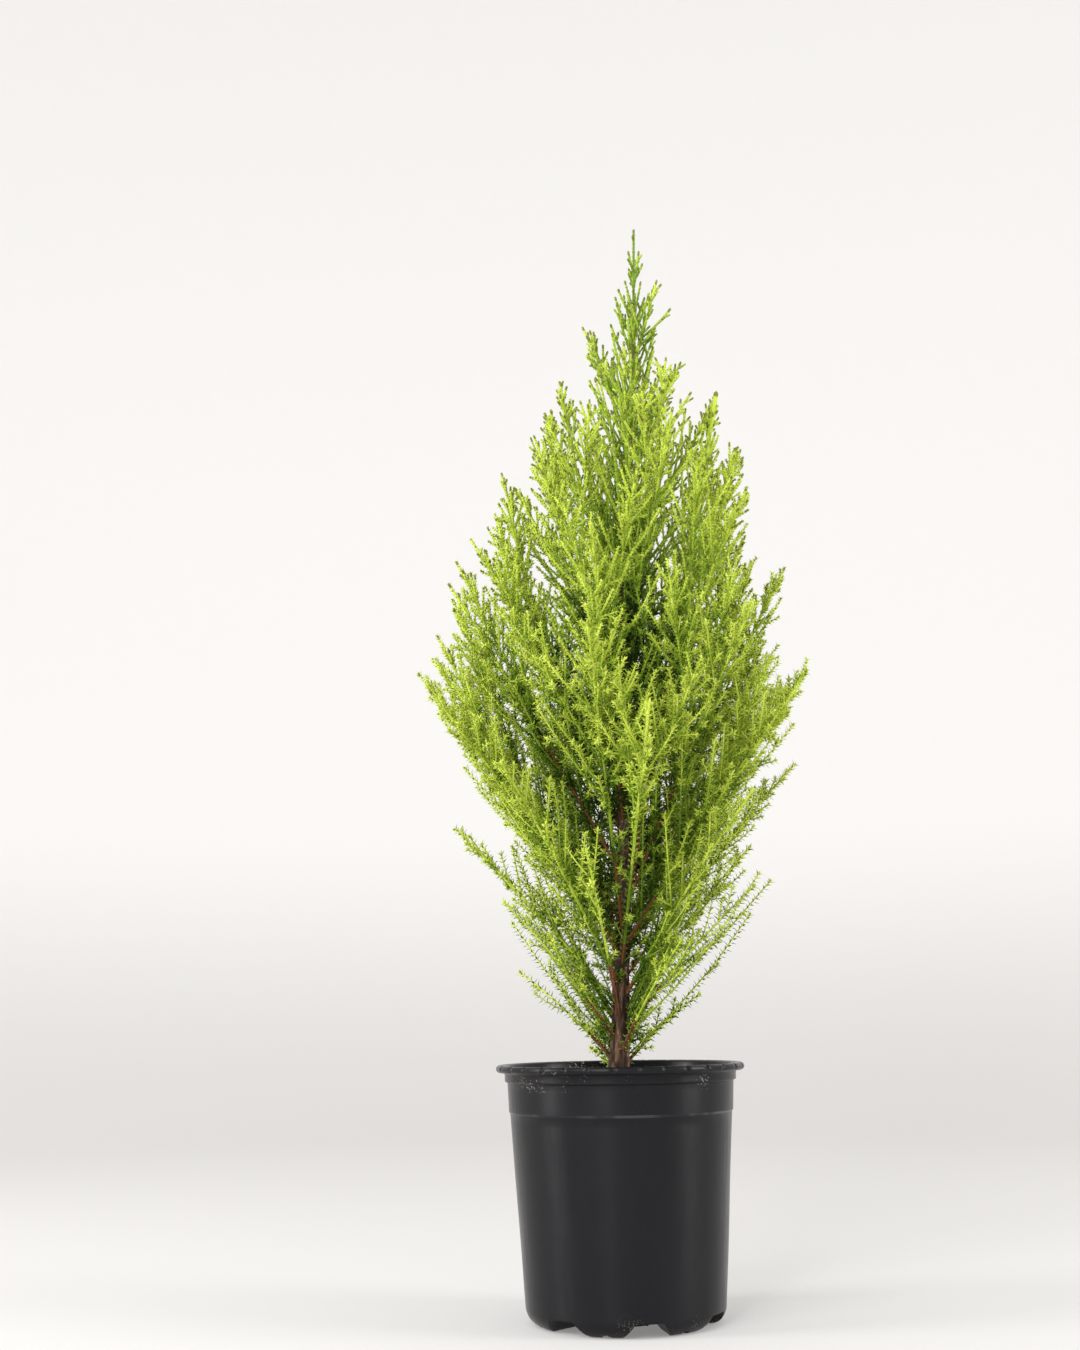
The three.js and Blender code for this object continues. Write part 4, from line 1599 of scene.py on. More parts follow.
    def needles_on(self, twigs: Twigs) -> Needles:
        """Sets whorls of needles along twigs, each whorl half a gap on from the last.

        Args:
            twigs: The twigs of one order.

        Returns:
            The needles as arrays.
        """
        rule = self.needle
        length = twigs.bows.lengths()
        height = twigs.bows.end[:, 2]
        middle = twigs.bows.places(3)[:, 1]
        depth = 1 - ease(*rule.inner_exposure, self.exposure(middle))
        depth = depth * ease(*self.low_light_heights, middle[:, 2])
        pitch = rule.at(height, rule.pitches) * lerp(1.0, rule.inner_pitch, depth)
        whorls = np.maximum((length / pitch).astype(int), 1)
        rows = np.repeat(np.arange(len(length)), whorls)
        place = np.concatenate([np.arange(count) for count in whorls])
        share = (place + 0.5) / whorls[rows]
        rows, place, share = (np.repeat(column, rule.whorl) for column in (rows, place, share))
        member = np.tile(np.arange(rule.whorl), len(rows) // rule.whorl)
        limb = twigs.limb[rows]
        serial = (twigs.serial[rows] * rule.whorl_numbers + place) * rule.whorl + member
        angle = (member + place / 2) * TURN / rule.whorl + twigs.serial[rows] * GOLDEN_TURN
        angle = angle + (chance(limb, serial, Draw.NEEDLE_TURN) - 0.5) * rule.turn_jitter
        parents = twigs.bows.pick(rows)
        along = parents.heading(share[:, None])[:, 0]
        radial = spiral_facing(along, twigs.facing[rows], angle)
        root = parents.at(share[:, None])[:, 0]
        root = root + radial * (rule.seat_share * self.core_radius(twigs, rows, share))[:, None]
        near_tip = ease(0.0, 1.0, 1 - (1 - share) * length[rows] / rule.tip_zone)
        splay = lerp(rule.at(height, rule.splays)[rows], rule.at(height, rule.tip_splays)[rows], near_tip)
        splay = splay * jitter(rule.splay_jitter, limb, serial, Draw.NEEDLE_SPLAY)
        reach = rule.at(height, rule.reaches)[rows]
        reach = reach * lerp(1.0, rule.at(height, rule.tip_reaches)[rows], near_tip)
        reach = reach * jitter(rule.reach_jitter, limb, serial, Draw.NEEDLE_REACH)
        reach = reach * lerp(1.0, rule.inner_reach, depth[rows])
        tint = self.tints(twigs, rows, root, share, share * length[rows])
        # Painted shade: low needles away from the tips take the deep tint, for the shaded sides of the low
        # shoots.
        low = 1 - ease(*self.low_light_heights, root[:, 2])
        is_painted_shade = chance(limb, serial, Draw.PAINTED_SHADE_NEEDLE) < self.painted_shade_needles * low * (1 - near_tip)
        tint[is_painted_shade] = TINTS.index(Tint.DEEP)
        return self.needle_mesh(root, along, radial, splay, reach, limb, tint)

    def buds_on(self, twigs: Twigs) -> Needles:
        """Sets a tuft of close, forward needles on the tip of each twig.

        Args:
            twigs: The twigs of one order.

        Returns:
            The needles as arrays.
        """
        rule = self.needle
        count = rule.bud_needles
        rows = np.repeat(np.arange(len(twigs.bows)), count)
        place = np.tile(np.arange(count), len(twigs.bows))
        length = twigs.bows.lengths()[rows]
        back = rule.bud_length * (1 - place / count)
        share = np.clip(1 - back / length, 0.0, 1.0)
        parents = twigs.bows.pick(rows)
        along = parents.heading(share[:, None])[:, 0]
        root = parents.at(share[:, None])[:, 0]
        radial = spiral_facing(along, twigs.facing[rows], place * GOLDEN_TURN)
        splay = lerp(*rule.bud_splays, place / count)
        reach = rule.at(root[:, 2], rule.bud_reaches) * lerp(1.0, rule.bud_taper, place / count)
        tint = self.tints(twigs, rows, root, np.ones(len(rows)), length)
        tint[self.is_olive(twigs, rows, root[:, 2])] = TINTS.index(Tint.OLIVE)
        return self.needle_mesh(root, along, radial, splay, reach, twigs.limb[rows], tint)

    def needle_mesh(self, root: Array, along: Array, radial: Array, splay: Array,
                    reach: Array, limb: Array, tint: Array) -> Needles:
        """Shapes needles as slim keeled blades of four faces.

        Args:
            root: Where each needle leaves its twig.
            along: The twig's heading there.
            radial: The way out of the twig.
            splay: The angle between needle and twig.
            reach: The needle's length.
            limb: The limb that it belongs to.
            tint: Its colour's number.

        Returns:
            The needles as arrays.
        """
        rule = self.needle
        way = leant(along, radial, splay)
        across = unit(np.cross(along, radial))
        keel = np.cross(way, across)
        reach = reach[:, None]
        middle = root + way * reach * rule.widest_at + keel * reach * rule.keel_share
        half = across * lerp(rule.least_width, 1.0, reach / rule.reaches[0]) * rule.widest / 2
        corners = np.stack([root, root + way * reach, middle + half, middle - half], axis=1)
        return Needles(corners, limb, tint)

    def needle_pieces(self, groups: list[Twigs], limbs: list[Limb]) -> list[Object]:
        """Joins the needles into pieces by ranges of limbs.

        Args:
            groups: Every order of twig.
            limbs: The limbs, from the ground up.

        Returns:
            The pieces.
        """
        parts = [self.needles_on(group) for group in [*groups, self.rule.clad_boughs(limbs)]]
        parts += [self.buds_on(group) for group in groups]
        vertices = np.concatenate([part.vertices for part in parts])
        limb = np.concatenate([part.limb for part in parts])
        tint = np.concatenate([part.tint for part in parts])
        counts = np.bincount(limb, minlength=len(limbs))
        materials = [PlainFinish(name).material() for name in NEEDLE_TINTS]
        pieces = []
        for number, members in enumerate(split_by_count(counts, MOST_TRIANGLES // len(BLADE)), 1):
            rows = np.flatnonzero(np.isin(limb, members))
            offsets = np.arange(len(rows))[:, None, None] * vertices.shape[1]
            faces = (BLADE[None] + offsets).reshape(-1, 3)
            piece = mesh_piece(f"needles_{number:02d}", vertices[rows].reshape(-1, 3), faces, materials)
            tints = np.repeat(tint[rows], len(BLADE)).astype(np.int32)
            piece.data.polygons.foreach_set("material_index", tints)
            nodes = [f"foliage_{limbs[member].name}" for member in members]
            pieces.append(seat(piece, nodes))
        return pieces

    def twig_pieces(self, groups: list[Twigs]) -> list[Object]:
        """Joins the twigs' own skins into pieces by order, in the colours of their needles.

        Args:
            groups: Every order of twig.

        Returns:
            The pieces.
        """
        materials = [PlainFinish(tint).material() for tint in TINTS]
        pieces = []
        for group in groups:
            rings, sides = self.skins[group.order]
            body = 1 - np.minimum(self.tip_length / group.bows.lengths(), self.tip_most)[:, None]
            share = np.concatenate([np.linspace(0, 1, rings - 1) * body, np.ones_like(body)], axis=1)
            radius = self.core_radius(group, np.arange(len(group.bows))[:, None], share)
            places, headings = group.bows.at(share), group.bows.heading(share)
            vertices, faces = tube_arrays(places, headings, group.facing, radius, sides)
            tint = self.twig_tints(group, vertices[faces].mean(axis=1))
            per_twig = len(faces) // len(group.bows)
            most = MOST_TRIANGLES // per_twig
            for number, first in enumerate(range(0, len(group.bows), most), 1):
                rows = slice(first * per_twig, (first + most) * per_twig)
                used = faces[rows]
                low, high = used.min(), used.max() + 1
                name = f"twigs_{group.order.name.lower()}_{number:02d}"
                piece = mesh_piece(name, vertices[low:high], used - low, materials)
                piece.data.polygons.foreach_set("material_index", tint[rows].astype(np.int32))
                shade_smooth(piece, self.twig_sharpness)
                pieces.append(seat(piece, []))
        return pieces

    def twig_tints(self, twigs: Twigs, places: Array) -> Array:
        """Deals a colour to each face of the twigs' skins, with the same painted light and shade as their
        needles.

        Args:
            twigs: The twigs of one order.
            places: The middle of each face.

        Returns:
            Numbers in the list of tints.
        """
        rows = np.repeat(np.arange(len(twigs.bows)), len(places) // len(twigs.bows))
        from_root = np.linalg.norm(places - twigs.bows.start[rows], axis=1)
        share = np.clip(from_root / twigs.bows.lengths()[rows], 0.0, 1.0)
        tint = self.tints(twigs, rows, places, share, from_root)
        is_tip = (1 - share) * twigs.bows.lengths()[rows] < self.tip_length * self.tip_tinted
        is_crest = (twigs.order is TwigOrder.STEM) & (places[:, 2] > self.olive_heights[1])
        is_olive = self.is_olive(twigs, rows, places[:, 2]) | is_crest
        tint[is_tip & is_olive] = TINTS.index(Tint.OLIVE)
        if twigs.order is TwigOrder.STEM:
            is_wood = (self.exposure(places) < self.green_from) & (places[:, 2] < self.wood_top)
            tint[is_wood] = TINTS.index(Tint.RED_WOOD)
        return tint


def split_by_count(counts: Array, most: int) -> list[list[int]]:
    """Deals numbers into runs of neighbours.

    Args:
        counts: What each number counts for.
        most: The most that a run may count.

    Returns:
        The runs.
    """
    runs: list[list[int]] = [[]]
    total = 0
    for number, count in enumerate(counts):
        if total + count > most:
            runs.append([])
            total = 0
        runs[-1].append(number)
        total += count
    return runs


def arc(out: float, up: float, radius: float, first: float, last: float, count: int) -> Array:
    """Returns an arc of a profile, as rows of radius and height, between two angles in degrees."""
    angle = np.radians(np.linspace(first, last, count))
    return np.stack([out + radius * np.cos(angle), up + radius * np.sin(angle)], axis=1)


def line(start: Span, end: Span, count: int) -> Array:
    """Returns evenly spaced points of a profile after a start, up to an end."""
    share = np.linspace(0, 1, count + 1)[1:, None]
    return lerp(np.array(start), np.array(end), share)


@dataclass
class NurseryPot:
    """The moulded pot: a turned shell with a rolled lip, a stepped band and arched drain channels."""

    height: float = 162.0
    wall: float = 1.0
    lip_radius: float = 2.4
    lip_out: float = 80.1
    mouth_radius: float = 75.6
    collar_radius: float = 76.8
    collar_height: float = 6.5
    band_radius: float = 75.0
    band_foot_radius: float = 74.2
    band_height: float = 19.5
    wall_top_radius: float = 73.4
    foot_radius: float = 65.0
    foot_rounding: float = 11.0
    channels: int = 7
    channel_phase: float = math.radians(13)
    channel_half_foot: float = 15.0
    channel_half_roof: float = 9.0
    channel_height: float = 9.0
    hub_radius: float = 20.0
    notch_half_width: float = 2.2
    notch_height: float = 2.4
    notch_from: float = 48.0
    nicks: int = 32
    nick_phase: float = math.radians(-25.3)
    nick_depth: float = 0.55
    columns_per_nick: int = 9
    nick_half_width: float = 1.0
    waviness: float = 0.25
    wave_cells: int = 7
    wave_length: float = 48.0
    wave_foot: Span = (12.0, 40.0)
    wave_band: Span = (128.0, 150.0)
    band_stiffness: float = 0.6
    nick_rise: Span = (0.2, 0.6)
    nick_from: float = 77.5
    nick_sink: float = 0.6
    pole_radius: float = 2.0
    seam: float = 0.4
    mouth_drop: float = 2.2
    neck_height: float = 150.0
    step_profile: Profile = ((-0.65, 0.15), (-0.3, 0.4), (-0.06, 0.9), (0.0, 1.6))
    ledge_profile: Profile = ((-1.7, 0.0), (-1.1, 0.3), (-0.4, 0.55), (-0.06, 1.0), (0.0, 1.8))
    fillet_profile: Profile = ((0.0, -1.6), (0.2, -0.7), (0.7, -0.12), (1.7, 0.0))
    brim_profile: Profile = ((-1.5, -0.08), (-2.8, -0.25), (-3.8, -0.7), (-4.3, -1.3))
    sharpness: float = math.radians(48)

    def outside(self) -> Array:
        """Draws the outer profile, from near the middle of the underside up to the mouth.

        Returns:
            Rows of radius and height.
        """
        lip_up = self.height - self.lip_radius
        under_lip = lip_up - self.lip_radius
        collar_foot = under_lip - self.collar_height
        band_foot = collar_foot - self.band_height
        flat = self.foot_radius - self.foot_rounding
        collar, band = self.collar_radius, self.band_foot_radius
        over_step = band_foot + self.step_profile[-1][1]
        return np.concatenate([
            line((self.pole_radius, 0.0), (self.hub_radius - self.seam, 0.0), 4),
            line((self.hub_radius, 0.0), (flat, 0.0), 16),
            arc(flat, self.foot_rounding, self.foot_rounding, -90, 0, 15)[1:],
            line((self.foot_radius, self.foot_rounding), (self.wall_top_radius, band_foot), 18),
            np.array(self.step_profile) + (band, band_foot),
            line((band, over_step), (self.band_radius, collar_foot - self.seam), 5),
            np.array(self.ledge_profile) + (collar, collar_foot),
            np.array(self.fillet_profile) + (collar, under_lip),
            arc(self.lip_out, lip_up, self.lip_radius, -90, 90, 13),
            np.array(self.brim_profile) + (self.lip_out, self.height),
        ])

    def inside(self) -> Array:
        """Draws the inner profile, from below the mouth down to near the middle of the floor.

        Returns:
            Rows of radius and height.
        """
        band_foot = self.height - 2 * self.lip_radius - self.collar_height - self.band_height
        flat = self.foot_radius - self.foot_rounding
        over_step = band_foot + self.step_profile[-1][1]
        inner_foot, inner_band = self.foot_radius - self.wall, self.band_radius - self.wall
        inner_top = self.wall_top_radius - self.wall
        return np.concatenate([
            line((self.mouth_radius, self.height - self.mouth_drop), (inner_band, self.neck_height), 3),
            line((inner_band, self.neck_height), (self.band_foot_radius - self.wall, over_step), 3),
            line((inner_top, band_foot - self.wall), (inner_foot, self.foot_rounding), 14),
            arc(flat, self.foot_rounding, self.foot_rounding - self.wall, 0, -90, 9)[1:],
            line((flat, self.wall), (self.hub_radius - self.wall, self.wall), 12),
            line((self.hub_radius - self.wall - self.seam, self.wall), (self.pole_radius, self.wall), 4),
        ])

    def lift(self, angle: Array, out: Array, grown: float) -> Array:
        """Gives how far the underside is raised by its channels and notches.

        Args:
            angle: Angles round the pot, from the front towards the right.
            out: Distances from the axis.
            grown: How much thicker the channels are, for the inner floor.

        Returns:
            The height that the underside starts from.
        """
        period = TURN / self.channels
        turn = (angle - self.channel_phase + period / 2) % period - period / 2
        aside, ahead = np.abs(out * np.sin(turn)), out * np.cos(turn)
        ramp = self.channel_half_foot - self.channel_half_roof
        share = np.clip((self.channel_half_foot + grown - aside) / ramp, 0.0, 1.0)
        roof = np.minimum(share * self.channel_height, self.channel_height) + grown * (share > 0)
        channel = np.where(ahead > self.hub_radius - grown, roof, 0.0)
        foot_turn = (angle - self.channel_phase) % period - period / 2
        near = np.abs(out * np.sin(foot_turn)) < self.notch_half_width
        notch = np.where(near & (out > self.notch_from) & (grown == 0), self.notch_height, 0.0)
        return np.maximum(channel, notch)

    def build(self) -> Object:
        """Makes the pot's mesh and dresses it.

        Returns:
            The piece.
        """
        outer, inner = self.outside(), self.inside()
        profile = np.concatenate([outer, inner])
        columns = self.nicks * self.columns_per_nick
        period = TURN / self.nicks
        half_nick = self.nick_half_width / self.lip_out
        between = np.linspace(half_nick, period - half_nick, self.columns_per_nick - 1)
        steps = np.concatenate([[0.0], between])
        angle = (self.nick_phase + np.arange(self.nicks)[:, None] * period + steps).ravel()
        out = np.broadcast_to(profile[:, :1], (len(profile), columns)).copy()
        up = np.broadcast_to(profile[:, 1:], (len(profile), columns)).copy()
        around = np.broadcast_to(angle, out.shape)
        grown = np.where(np.arange(len(profile)) < len(outer), 0.0, self.wall)[:, None]
        lift_outer, lift_inner = self.lift(around, out, 0.0), self.lift(around, out, self.wall)
        up = np.maximum(up, np.where(grown == 0, lift_outer, lift_inner))
        wave = ring_noise((around / TURN) % 1, up / self.wave_length, self.wave_cells, Draw.POT_WAVE)
        is_wall = ease(*self.wave_foot, up) * (1 - self.band_stiffness * ease(*self.wave_band, up))
        out = out + self.waviness * wave * is_wall
        lip_share = (up - self.height + 2 * self.lip_radius) / self.lip_radius
        is_lip = ease(*self.nick_rise, lip_share) * (out > self.nick_from)
        nick = np.tile(steps == 0.0, self.nicks)
        out = out - self.nick_depth * nick * is_lip
        up = up - self.nick_sink * self.nick_depth * nick * is_lip
        skin = np.stack([out * np.sin(around), -out * np.cos(around), up], axis=-1)
        poles = np.array([(0.0, 0.0, 0.0), (0.0, 0.0, self.wall)])
        vertices = np.concatenate([skin.reshape(-1, 3), poles])
        faces = skin_faces(len(profile), columns)
        piece = mesh_piece("pot_shell", vertices, faces, [PlasticFinish().material()])
        shade_smooth(piece, self.sharpness)
        return seat(piece, ["pot"])


@dataclass
class PottingMix:
    """The bed of potting mix and the chips of bark that lie on it."""

    level: float = 149.0
    radius: float = 72.6
    foot_radius: float = 63.0
    foot: float = 11.5
    unevenness: float = 1.6
    columns: int = 96
    chips_from: float = 1.0
    chips_radius: float = 68.0
    chip_density: float = 95_000.0
    chip_size: float = 2.6
    chip_sizes: Span = (0.35, 1.9)
    chip_shape: Point = (1.0, 0.55, 0.34)
    chip_raggedness: float = 0.14
    chip_tilt: float = 0.5
    chip_lift: float = 0.3
    chip_rings: int = 24
    seed: int = 7
    bump_cells: tuple[int, int] = (7, 17)
    dent_cells: tuple[int, int] = (3, 6)
    bump_share: float = 0.45
    edge_power: int = 4
    edge: float = 0.4
    bevel: float = 3.0
    pole_radius: float = 2.0
    top_rings: int = 40
    top_hole: float = 1.2
    sharpness: float = math.radians(70)
    bed_finish: MixFinish = MixFinish("potting_mix", (40, 30, 23), (66, 50, 37), (112, 92, 70))
    chip_finish: MixFinish = MixFinish("bark_chips", (58, 42, 30), (96, 72, 50), (136, 112, 84))

    def top(self, out: Array, angle: Array) -> Array:
        """Shapes the bed's top, uneven but for its edge at the pot's wall.

        Args:
            out: Distances from the axis.
            angle: Angles round it.

        Returns:
            Heights.
        """
        across = out / self.radius
        share = (angle / TURN) % 1
        bumps = ring_noise(share, across * self.bump_cells[0], self.bump_cells[1], Draw.MIX_BUMPS)
        dents = ring_noise(share, across * self.dent_cells[0], self.dent_cells[1], Draw.MIX_DENTS)
        uneven = self.bump_share * bumps + (1 - self.bump_share) * dents
        return self.level + self.unevenness * uneven * (1 - across**self.edge_power)

    def bed(self) -> Object:
        """Makes the bed as one closed body that fills the pot.

        Returns:
            The piece.
        """
        side = np.concatenate([
            line((self.pole_radius, self.foot), (self.foot_radius - self.bevel, self.foot), 6),
            line((self.foot_radius, self.foot + self.bevel), (self.radius, self.level - self.edge), 12),
        ])
        rings = np.linspace(self.radius - self.edge, self.top_hole, self.top_rings)
        angle = np.arange(self.columns) / self.columns * TURN
        out = np.concatenate([side[:, 0], rings])[:, None] + np.zeros_like(angle)
        around = np.broadcast_to(angle, out.shape)
        up = np.concatenate([np.broadcast_to(side[:, 1:], (len(side), self.columns)),
                             self.top(out[len(side):], around[len(side):])])
        skin = np.stack([out * np.cos(around), out * np.sin(around), up], axis=-1)
        poles = np.array([(0.0, 0.0, self.foot), (0.0, 0.0, self.level)])
        vertices = np.concatenate([skin.reshape(-1, 3), poles])
        faces = skin_faces(len(out), self.columns)
        piece = mesh_piece("soil_bed", vertices, faces, [self.bed_finish.material()])
        shade_smooth(piece, self.sharpness)
        return seat(piece, ["soil"])

    def chip_tree(self) -> NodeTree:
        """Makes the node tree that strews chips over a surface.

        Returns:
            The tree.
        """
        tree = bpy.data.node_groups.new("strewn_chips", "GeometryNodeTree")
        add_sockets(tree, "INPUT", Surface="Geometry", Density="Float", Size="Float", Seed="Int",
                    Finish="Material")
        add_sockets(tree, "OUTPUT", Chips="Geometry")
        graph = Graph(tree)
        given = graph.add("NodeGroupInput").outputs
        points = graph.add("GeometryNodeDistributePointsOnFaces", {
            "Mesh": given["Surface"], "Density": given["Density"], "Seed": given["Seed"]})
        ball = graph.add("GeometryNodeMeshIcoSphere", {"Radius": 0.5, "Subdivisions": 1})
        rough, tilt = self.chip_raggedness, self.chip_tilt
        ragged = graph.add("FunctionNodeRandomValue", {0: (-rough,) * 3, 1: (rough,) * 3},
                           data_type="FLOAT_VECTOR")
        lump = graph.add("GeometryNodeSetPosition", {
            "Geometry": ball.outputs[0], "Offset": ragged.outputs[0]})
        chip = graph.add("GeometryNodeTransform", {"Geometry": lump.outputs[0], "Scale": self.chip_shape})
        turn = graph.add("FunctionNodeRandomValue", {0: (-tilt, -tilt, 0.0), 1: (tilt, tilt, TURN)},
                         data_type="FLOAT_VECTOR")
        size = graph.add("FunctionNodeRandomValue", {2: self.chip_sizes[0], 3: self.chip_sizes[1]})
        scale = graph.add("ShaderNodeMath", {0: size.outputs[1], 1: given["Size"]}, operation="MULTIPLY")
        strewn = graph.add("GeometryNodeInstanceOnPoints", {
            "Points": points.outputs["Points"], "Instance": chip.outputs[0], "Rotation": turn.outputs[0],
            "Scale": scale.outputs[0]})
        whole = graph.add("GeometryNodeRealizeInstances", {"Geometry": strewn.outputs[0]})
        dressed = graph.add("GeometryNodeSetMaterial", {
            "Geometry": whole.outputs[0], "Material": given["Finish"]})
        graph.add("NodeGroupOutput", {"Chips": dressed.outputs[0]})
        return tree

    def chips(self) -> Object:
        """Strews chips over the bed by a node tree and keeps them as a plain mesh.

        Returns:
            The piece.
        """
        out = np.linspace(self.chips_from, self.chips_radius, self.chip_rings)[:, None]
        angle = np.arange(self.columns) / self.columns * TURN
        around = np.broadcast_to(angle, (len(out), self.columns))
        skin = np.stack([out * np.cos(around), out * np.sin(around),
                         self.top(out + 0 * around, around) + self.chip_lift], axis=-1)
        finish = self.chip_finish.material()
        faces = grid_faces(len(out), self.columns)[:, ::-1]
        surface = mesh_piece("soil_chips", skin.reshape(-1, 3), faces, [])
        modifier = surface.modifiers.new("strewn", "NODES")
        modifier.node_group = self.chip_tree()
        values = {"Density": self.chip_density, "Size": self.chip_size * MM, "Seed": self.seed,
                  "Finish": finish}
        for item in modifier.node_group.interface.items_tree:
            if item.in_out == "INPUT" and item.name in values:
                modifier[item.identifier] = values[item.name]
        evaluated = surface.evaluated_get(bpy.context.evaluated_depsgraph_get())
        strewn = bpy.data.meshes.new_from_object(evaluated)
        surface.modifiers.remove(modifier)
        surface.data = strewn
        return seat(surface, [])


# Sizes of the bark's relief.
LIMB_APART = 400.0
RIDGE_SWAY = 0.05
SWAY_LENGTH = 31.0
# Each layer of relief has a length, cells for each ridge and a weight.
RELIEF_LAYERS = ((34.0, 1, 0.5), (11.0, 2, 0.45), (4.5, 2, 0.4))
RELIEF_RANGE = (-0.7, 0.7)
RELIEF_LEVEL = 0.6
POLE_RELIEF = 0.5
BARK_SHARPNESS = math.radians(60)


def bark_relief(places: Array, sides: int, ridges: int, use: int) -> Array:
    """Gives the relief of long fibrous ridges round limbs.

    Args:
        places: Course points, by limb and by ring.
        sides: Corners of each ring.
        ridges: How many ridges there are round a limb.
        use: Which noise this is.

    Returns:
        Heights from 0 to 1, by limb, ring and corner.
    """
    limbs, rings = places.shape[:2]
    steps = np.linalg.norm(np.diff(places, axis=1), axis=2)
    along = np.concatenate([np.zeros((limbs, 1)), np.cumsum(steps, axis=1)], axis=1)
    along = along[:, :, None] + np.arange(limbs)[:, None, None] * LIMB_APART
    share = np.arange(sides) / sides
    share = (share + RIDGE_SWAY * np.sin(along / SWAY_LENGTH)) % 1
    height = 0.0
    for layer, (length, cells, weight) in enumerate(RELIEF_LAYERS):
        height = height + weight * ring_noise(share, along / length + 0 * share, ridges * cells, use + layer)
    return ease(*RELIEF_RANGE, height)


def bark_piece(name: str, tubes: tuple[Array, Array], relief: Array, finish: BarkFinish) -> Object:
    """Makes a bark mesh that keeps its relief as an attribute for its finish.

    Args:
        name: The piece's name.
        tubes: Its vertices and triangles.
        relief: Heights from 0 to 1, by limb, ring and corner.
        finish: Its bark.

    Returns:
        The object.
    """
    piece = mesh_piece(name, *tubes, [finish.material()])
    heights = relief.reshape(len(relief), -1)
    heights = np.concatenate([heights, np.full((len(relief), 2), POLE_RELIEF)], axis=1)
    layer = piece.data.attributes.new(RELIEF, "FLOAT", "POINT")
    layer.data.foreach_set("value", heights.astype(np.float32).ravel())
    shade_smooth(piece, BARK_SHARPNESS)
    return piece


@dataclass
class Trunk:
    """The trunk's bark, from just under the mix to its woody tip."""

    course: TrunkLine = field(default_factory=TrunkLine)
    foot: float = 146.5
    ring_step: float = 1.5
    sides: int = 60
    ridges: int = 11
    relief_share: float = 0.26
    relief_most: float = 1.5
    bark: BarkFinish = BarkFinish("trunk_bark", (38, 27, 22), (104, 78, 60), (142, 112, 88), 700.0, 0.28)

    def build(self) -> Object:
        """Makes the trunk's mesh and dresses it.

        Returns:
            The piece.
        """
        height = np.arange(self.foot, self.course.top, self.ring_step)
        places = self.course.at(height)[None]
        headings = unit(np.gradient(places, axis=1))
        relief = bark_relief(places, self.sides, self.ridges, Draw.TRUNK_BARK)
        radius = self.course.radius(np.maximum(height, self.course.soil_level))
        depth = np.minimum(radius * self.relief_share, self.relief_most)
        spread = radius[None, :, None] + depth[None, :, None] * (relief - RELIEF_LEVEL)
        tubes = tube_arrays(places, headings, outward(np.zeros(1)), spread, self.sides)
        return seat(bark_piece("trunk_bark", tubes, relief, self.bark), ["trunk"])


@dataclass
class Boughs:
    """The bare boughs of the lowest limbs and the fork."""

    rule: LimbRule = field(default_factory=LimbRule)
    rings: int = 60
    sides: int = 18
    ridges: int = 6
    relief_share: float = 0.22
    slimness: float = 0.72
    overlap: float = 0.03
    bark: BarkFinish = BarkFinish("bough_bark", (74, 42, 30), (136, 84, 58), (170, 122, 84), 1200.0, 0.14)

    def build(self, limbs: list[Limb]) -> Object:
        """Makes the boughs' mesh and dresses it.

        Args:
            limbs: The limbs, from the ground up.

        Returns:
            The piece.
        """
        bare = [limb for limb in limbs if limb.bare > 0]
        bows = joined_bows([limb.bow for limb in bare])
        reach = np.array([limb.bare for limb in bare]) + self.overlap
        share = np.linspace(0, 1, self.rings) * reach[:, None]
        places, headings = bows.at(share), bows.heading(share)
        root_radius = np.array([limb.radius for limb in bare])[:, None] * self.slimness
        radius = lerp(root_radius, self.rule.tip_radius, share)
        relief = bark_relief(places, self.sides, self.ridges, Draw.BOUGH_BARK)
        spread = radius[..., None] * (1 + self.relief_share * (relief - RELIEF_LEVEL))
        side = outward(np.array([limb.azimuth for limb in bare]) + TURN / 4)
        tubes = tube_arrays(places, headings, side, spread, self.sides)
        nodes = [f"bough_{limb.name}" for limb in bare]
        return seat(bark_piece("boughs_bark", tubes, relief, self.bark), nodes)


@dataclass(frozen=True)
class Softbox:
    """A soft light: its place and its sizes in metres, and its power in watts."""

    name: str
    place: Point
    width: float
    height: float
    power: float


@dataclass(frozen=True)
class StudioSizes:
    """Where the camera stands and how the studio is lit."""

    camera_place: Point = (0.0, -1.100, 0.193)
    pitch: float = math.radians(12.05)
    yaw: float = math.radians(2.55)
    roll: float = math.radians(-0.93)
    focal_pixels: float = 1602.0
    frame_height: float = 1350.0
    sensor: float = 36.0
    floor_radius: float = 3.2
    wall_height: float = 4.5
    bend_radius: float = 1.6
    bend_steps: int = 13
    flat_rings: Sizes = (0.001, 0.5, 1.0)
    columns: int = 96
    floor_sharpness: float = math.radians(60)
    floor_roughness: float = 0.9
    floor_specular: float = 0.1
    floor_colour: Colour = (182, 181, 180)
    floor_glow: float = 0.43
    glow_low: Colour = (188, 186, 184)
    glow_high: Colour = (255, 253, 250)
    glow_height: float = 0.7
    sky_colour: Colour = (255, 254, 253)
    sky_strength: float = 0.75
    light_aim: Point = (0.0, 0.0, 0.4)
    softboxes: tuple[Softbox, ...] = (
        Softbox("key", (-1.1, -1.9, 1.9), 1.3, 1.3, 29.0),
        Softbox("left_strip", (-1.83, -0.5, 0.85), 0.6, 1.1, 27.0),
        Softbox("right_strip", (1.75, -0.45, 0.85), 0.65, 1.1, 22.0),
        Softbox("fill", (-0.62, -2.2, 1.1), 0.36, 0.9, 14.0),
    )


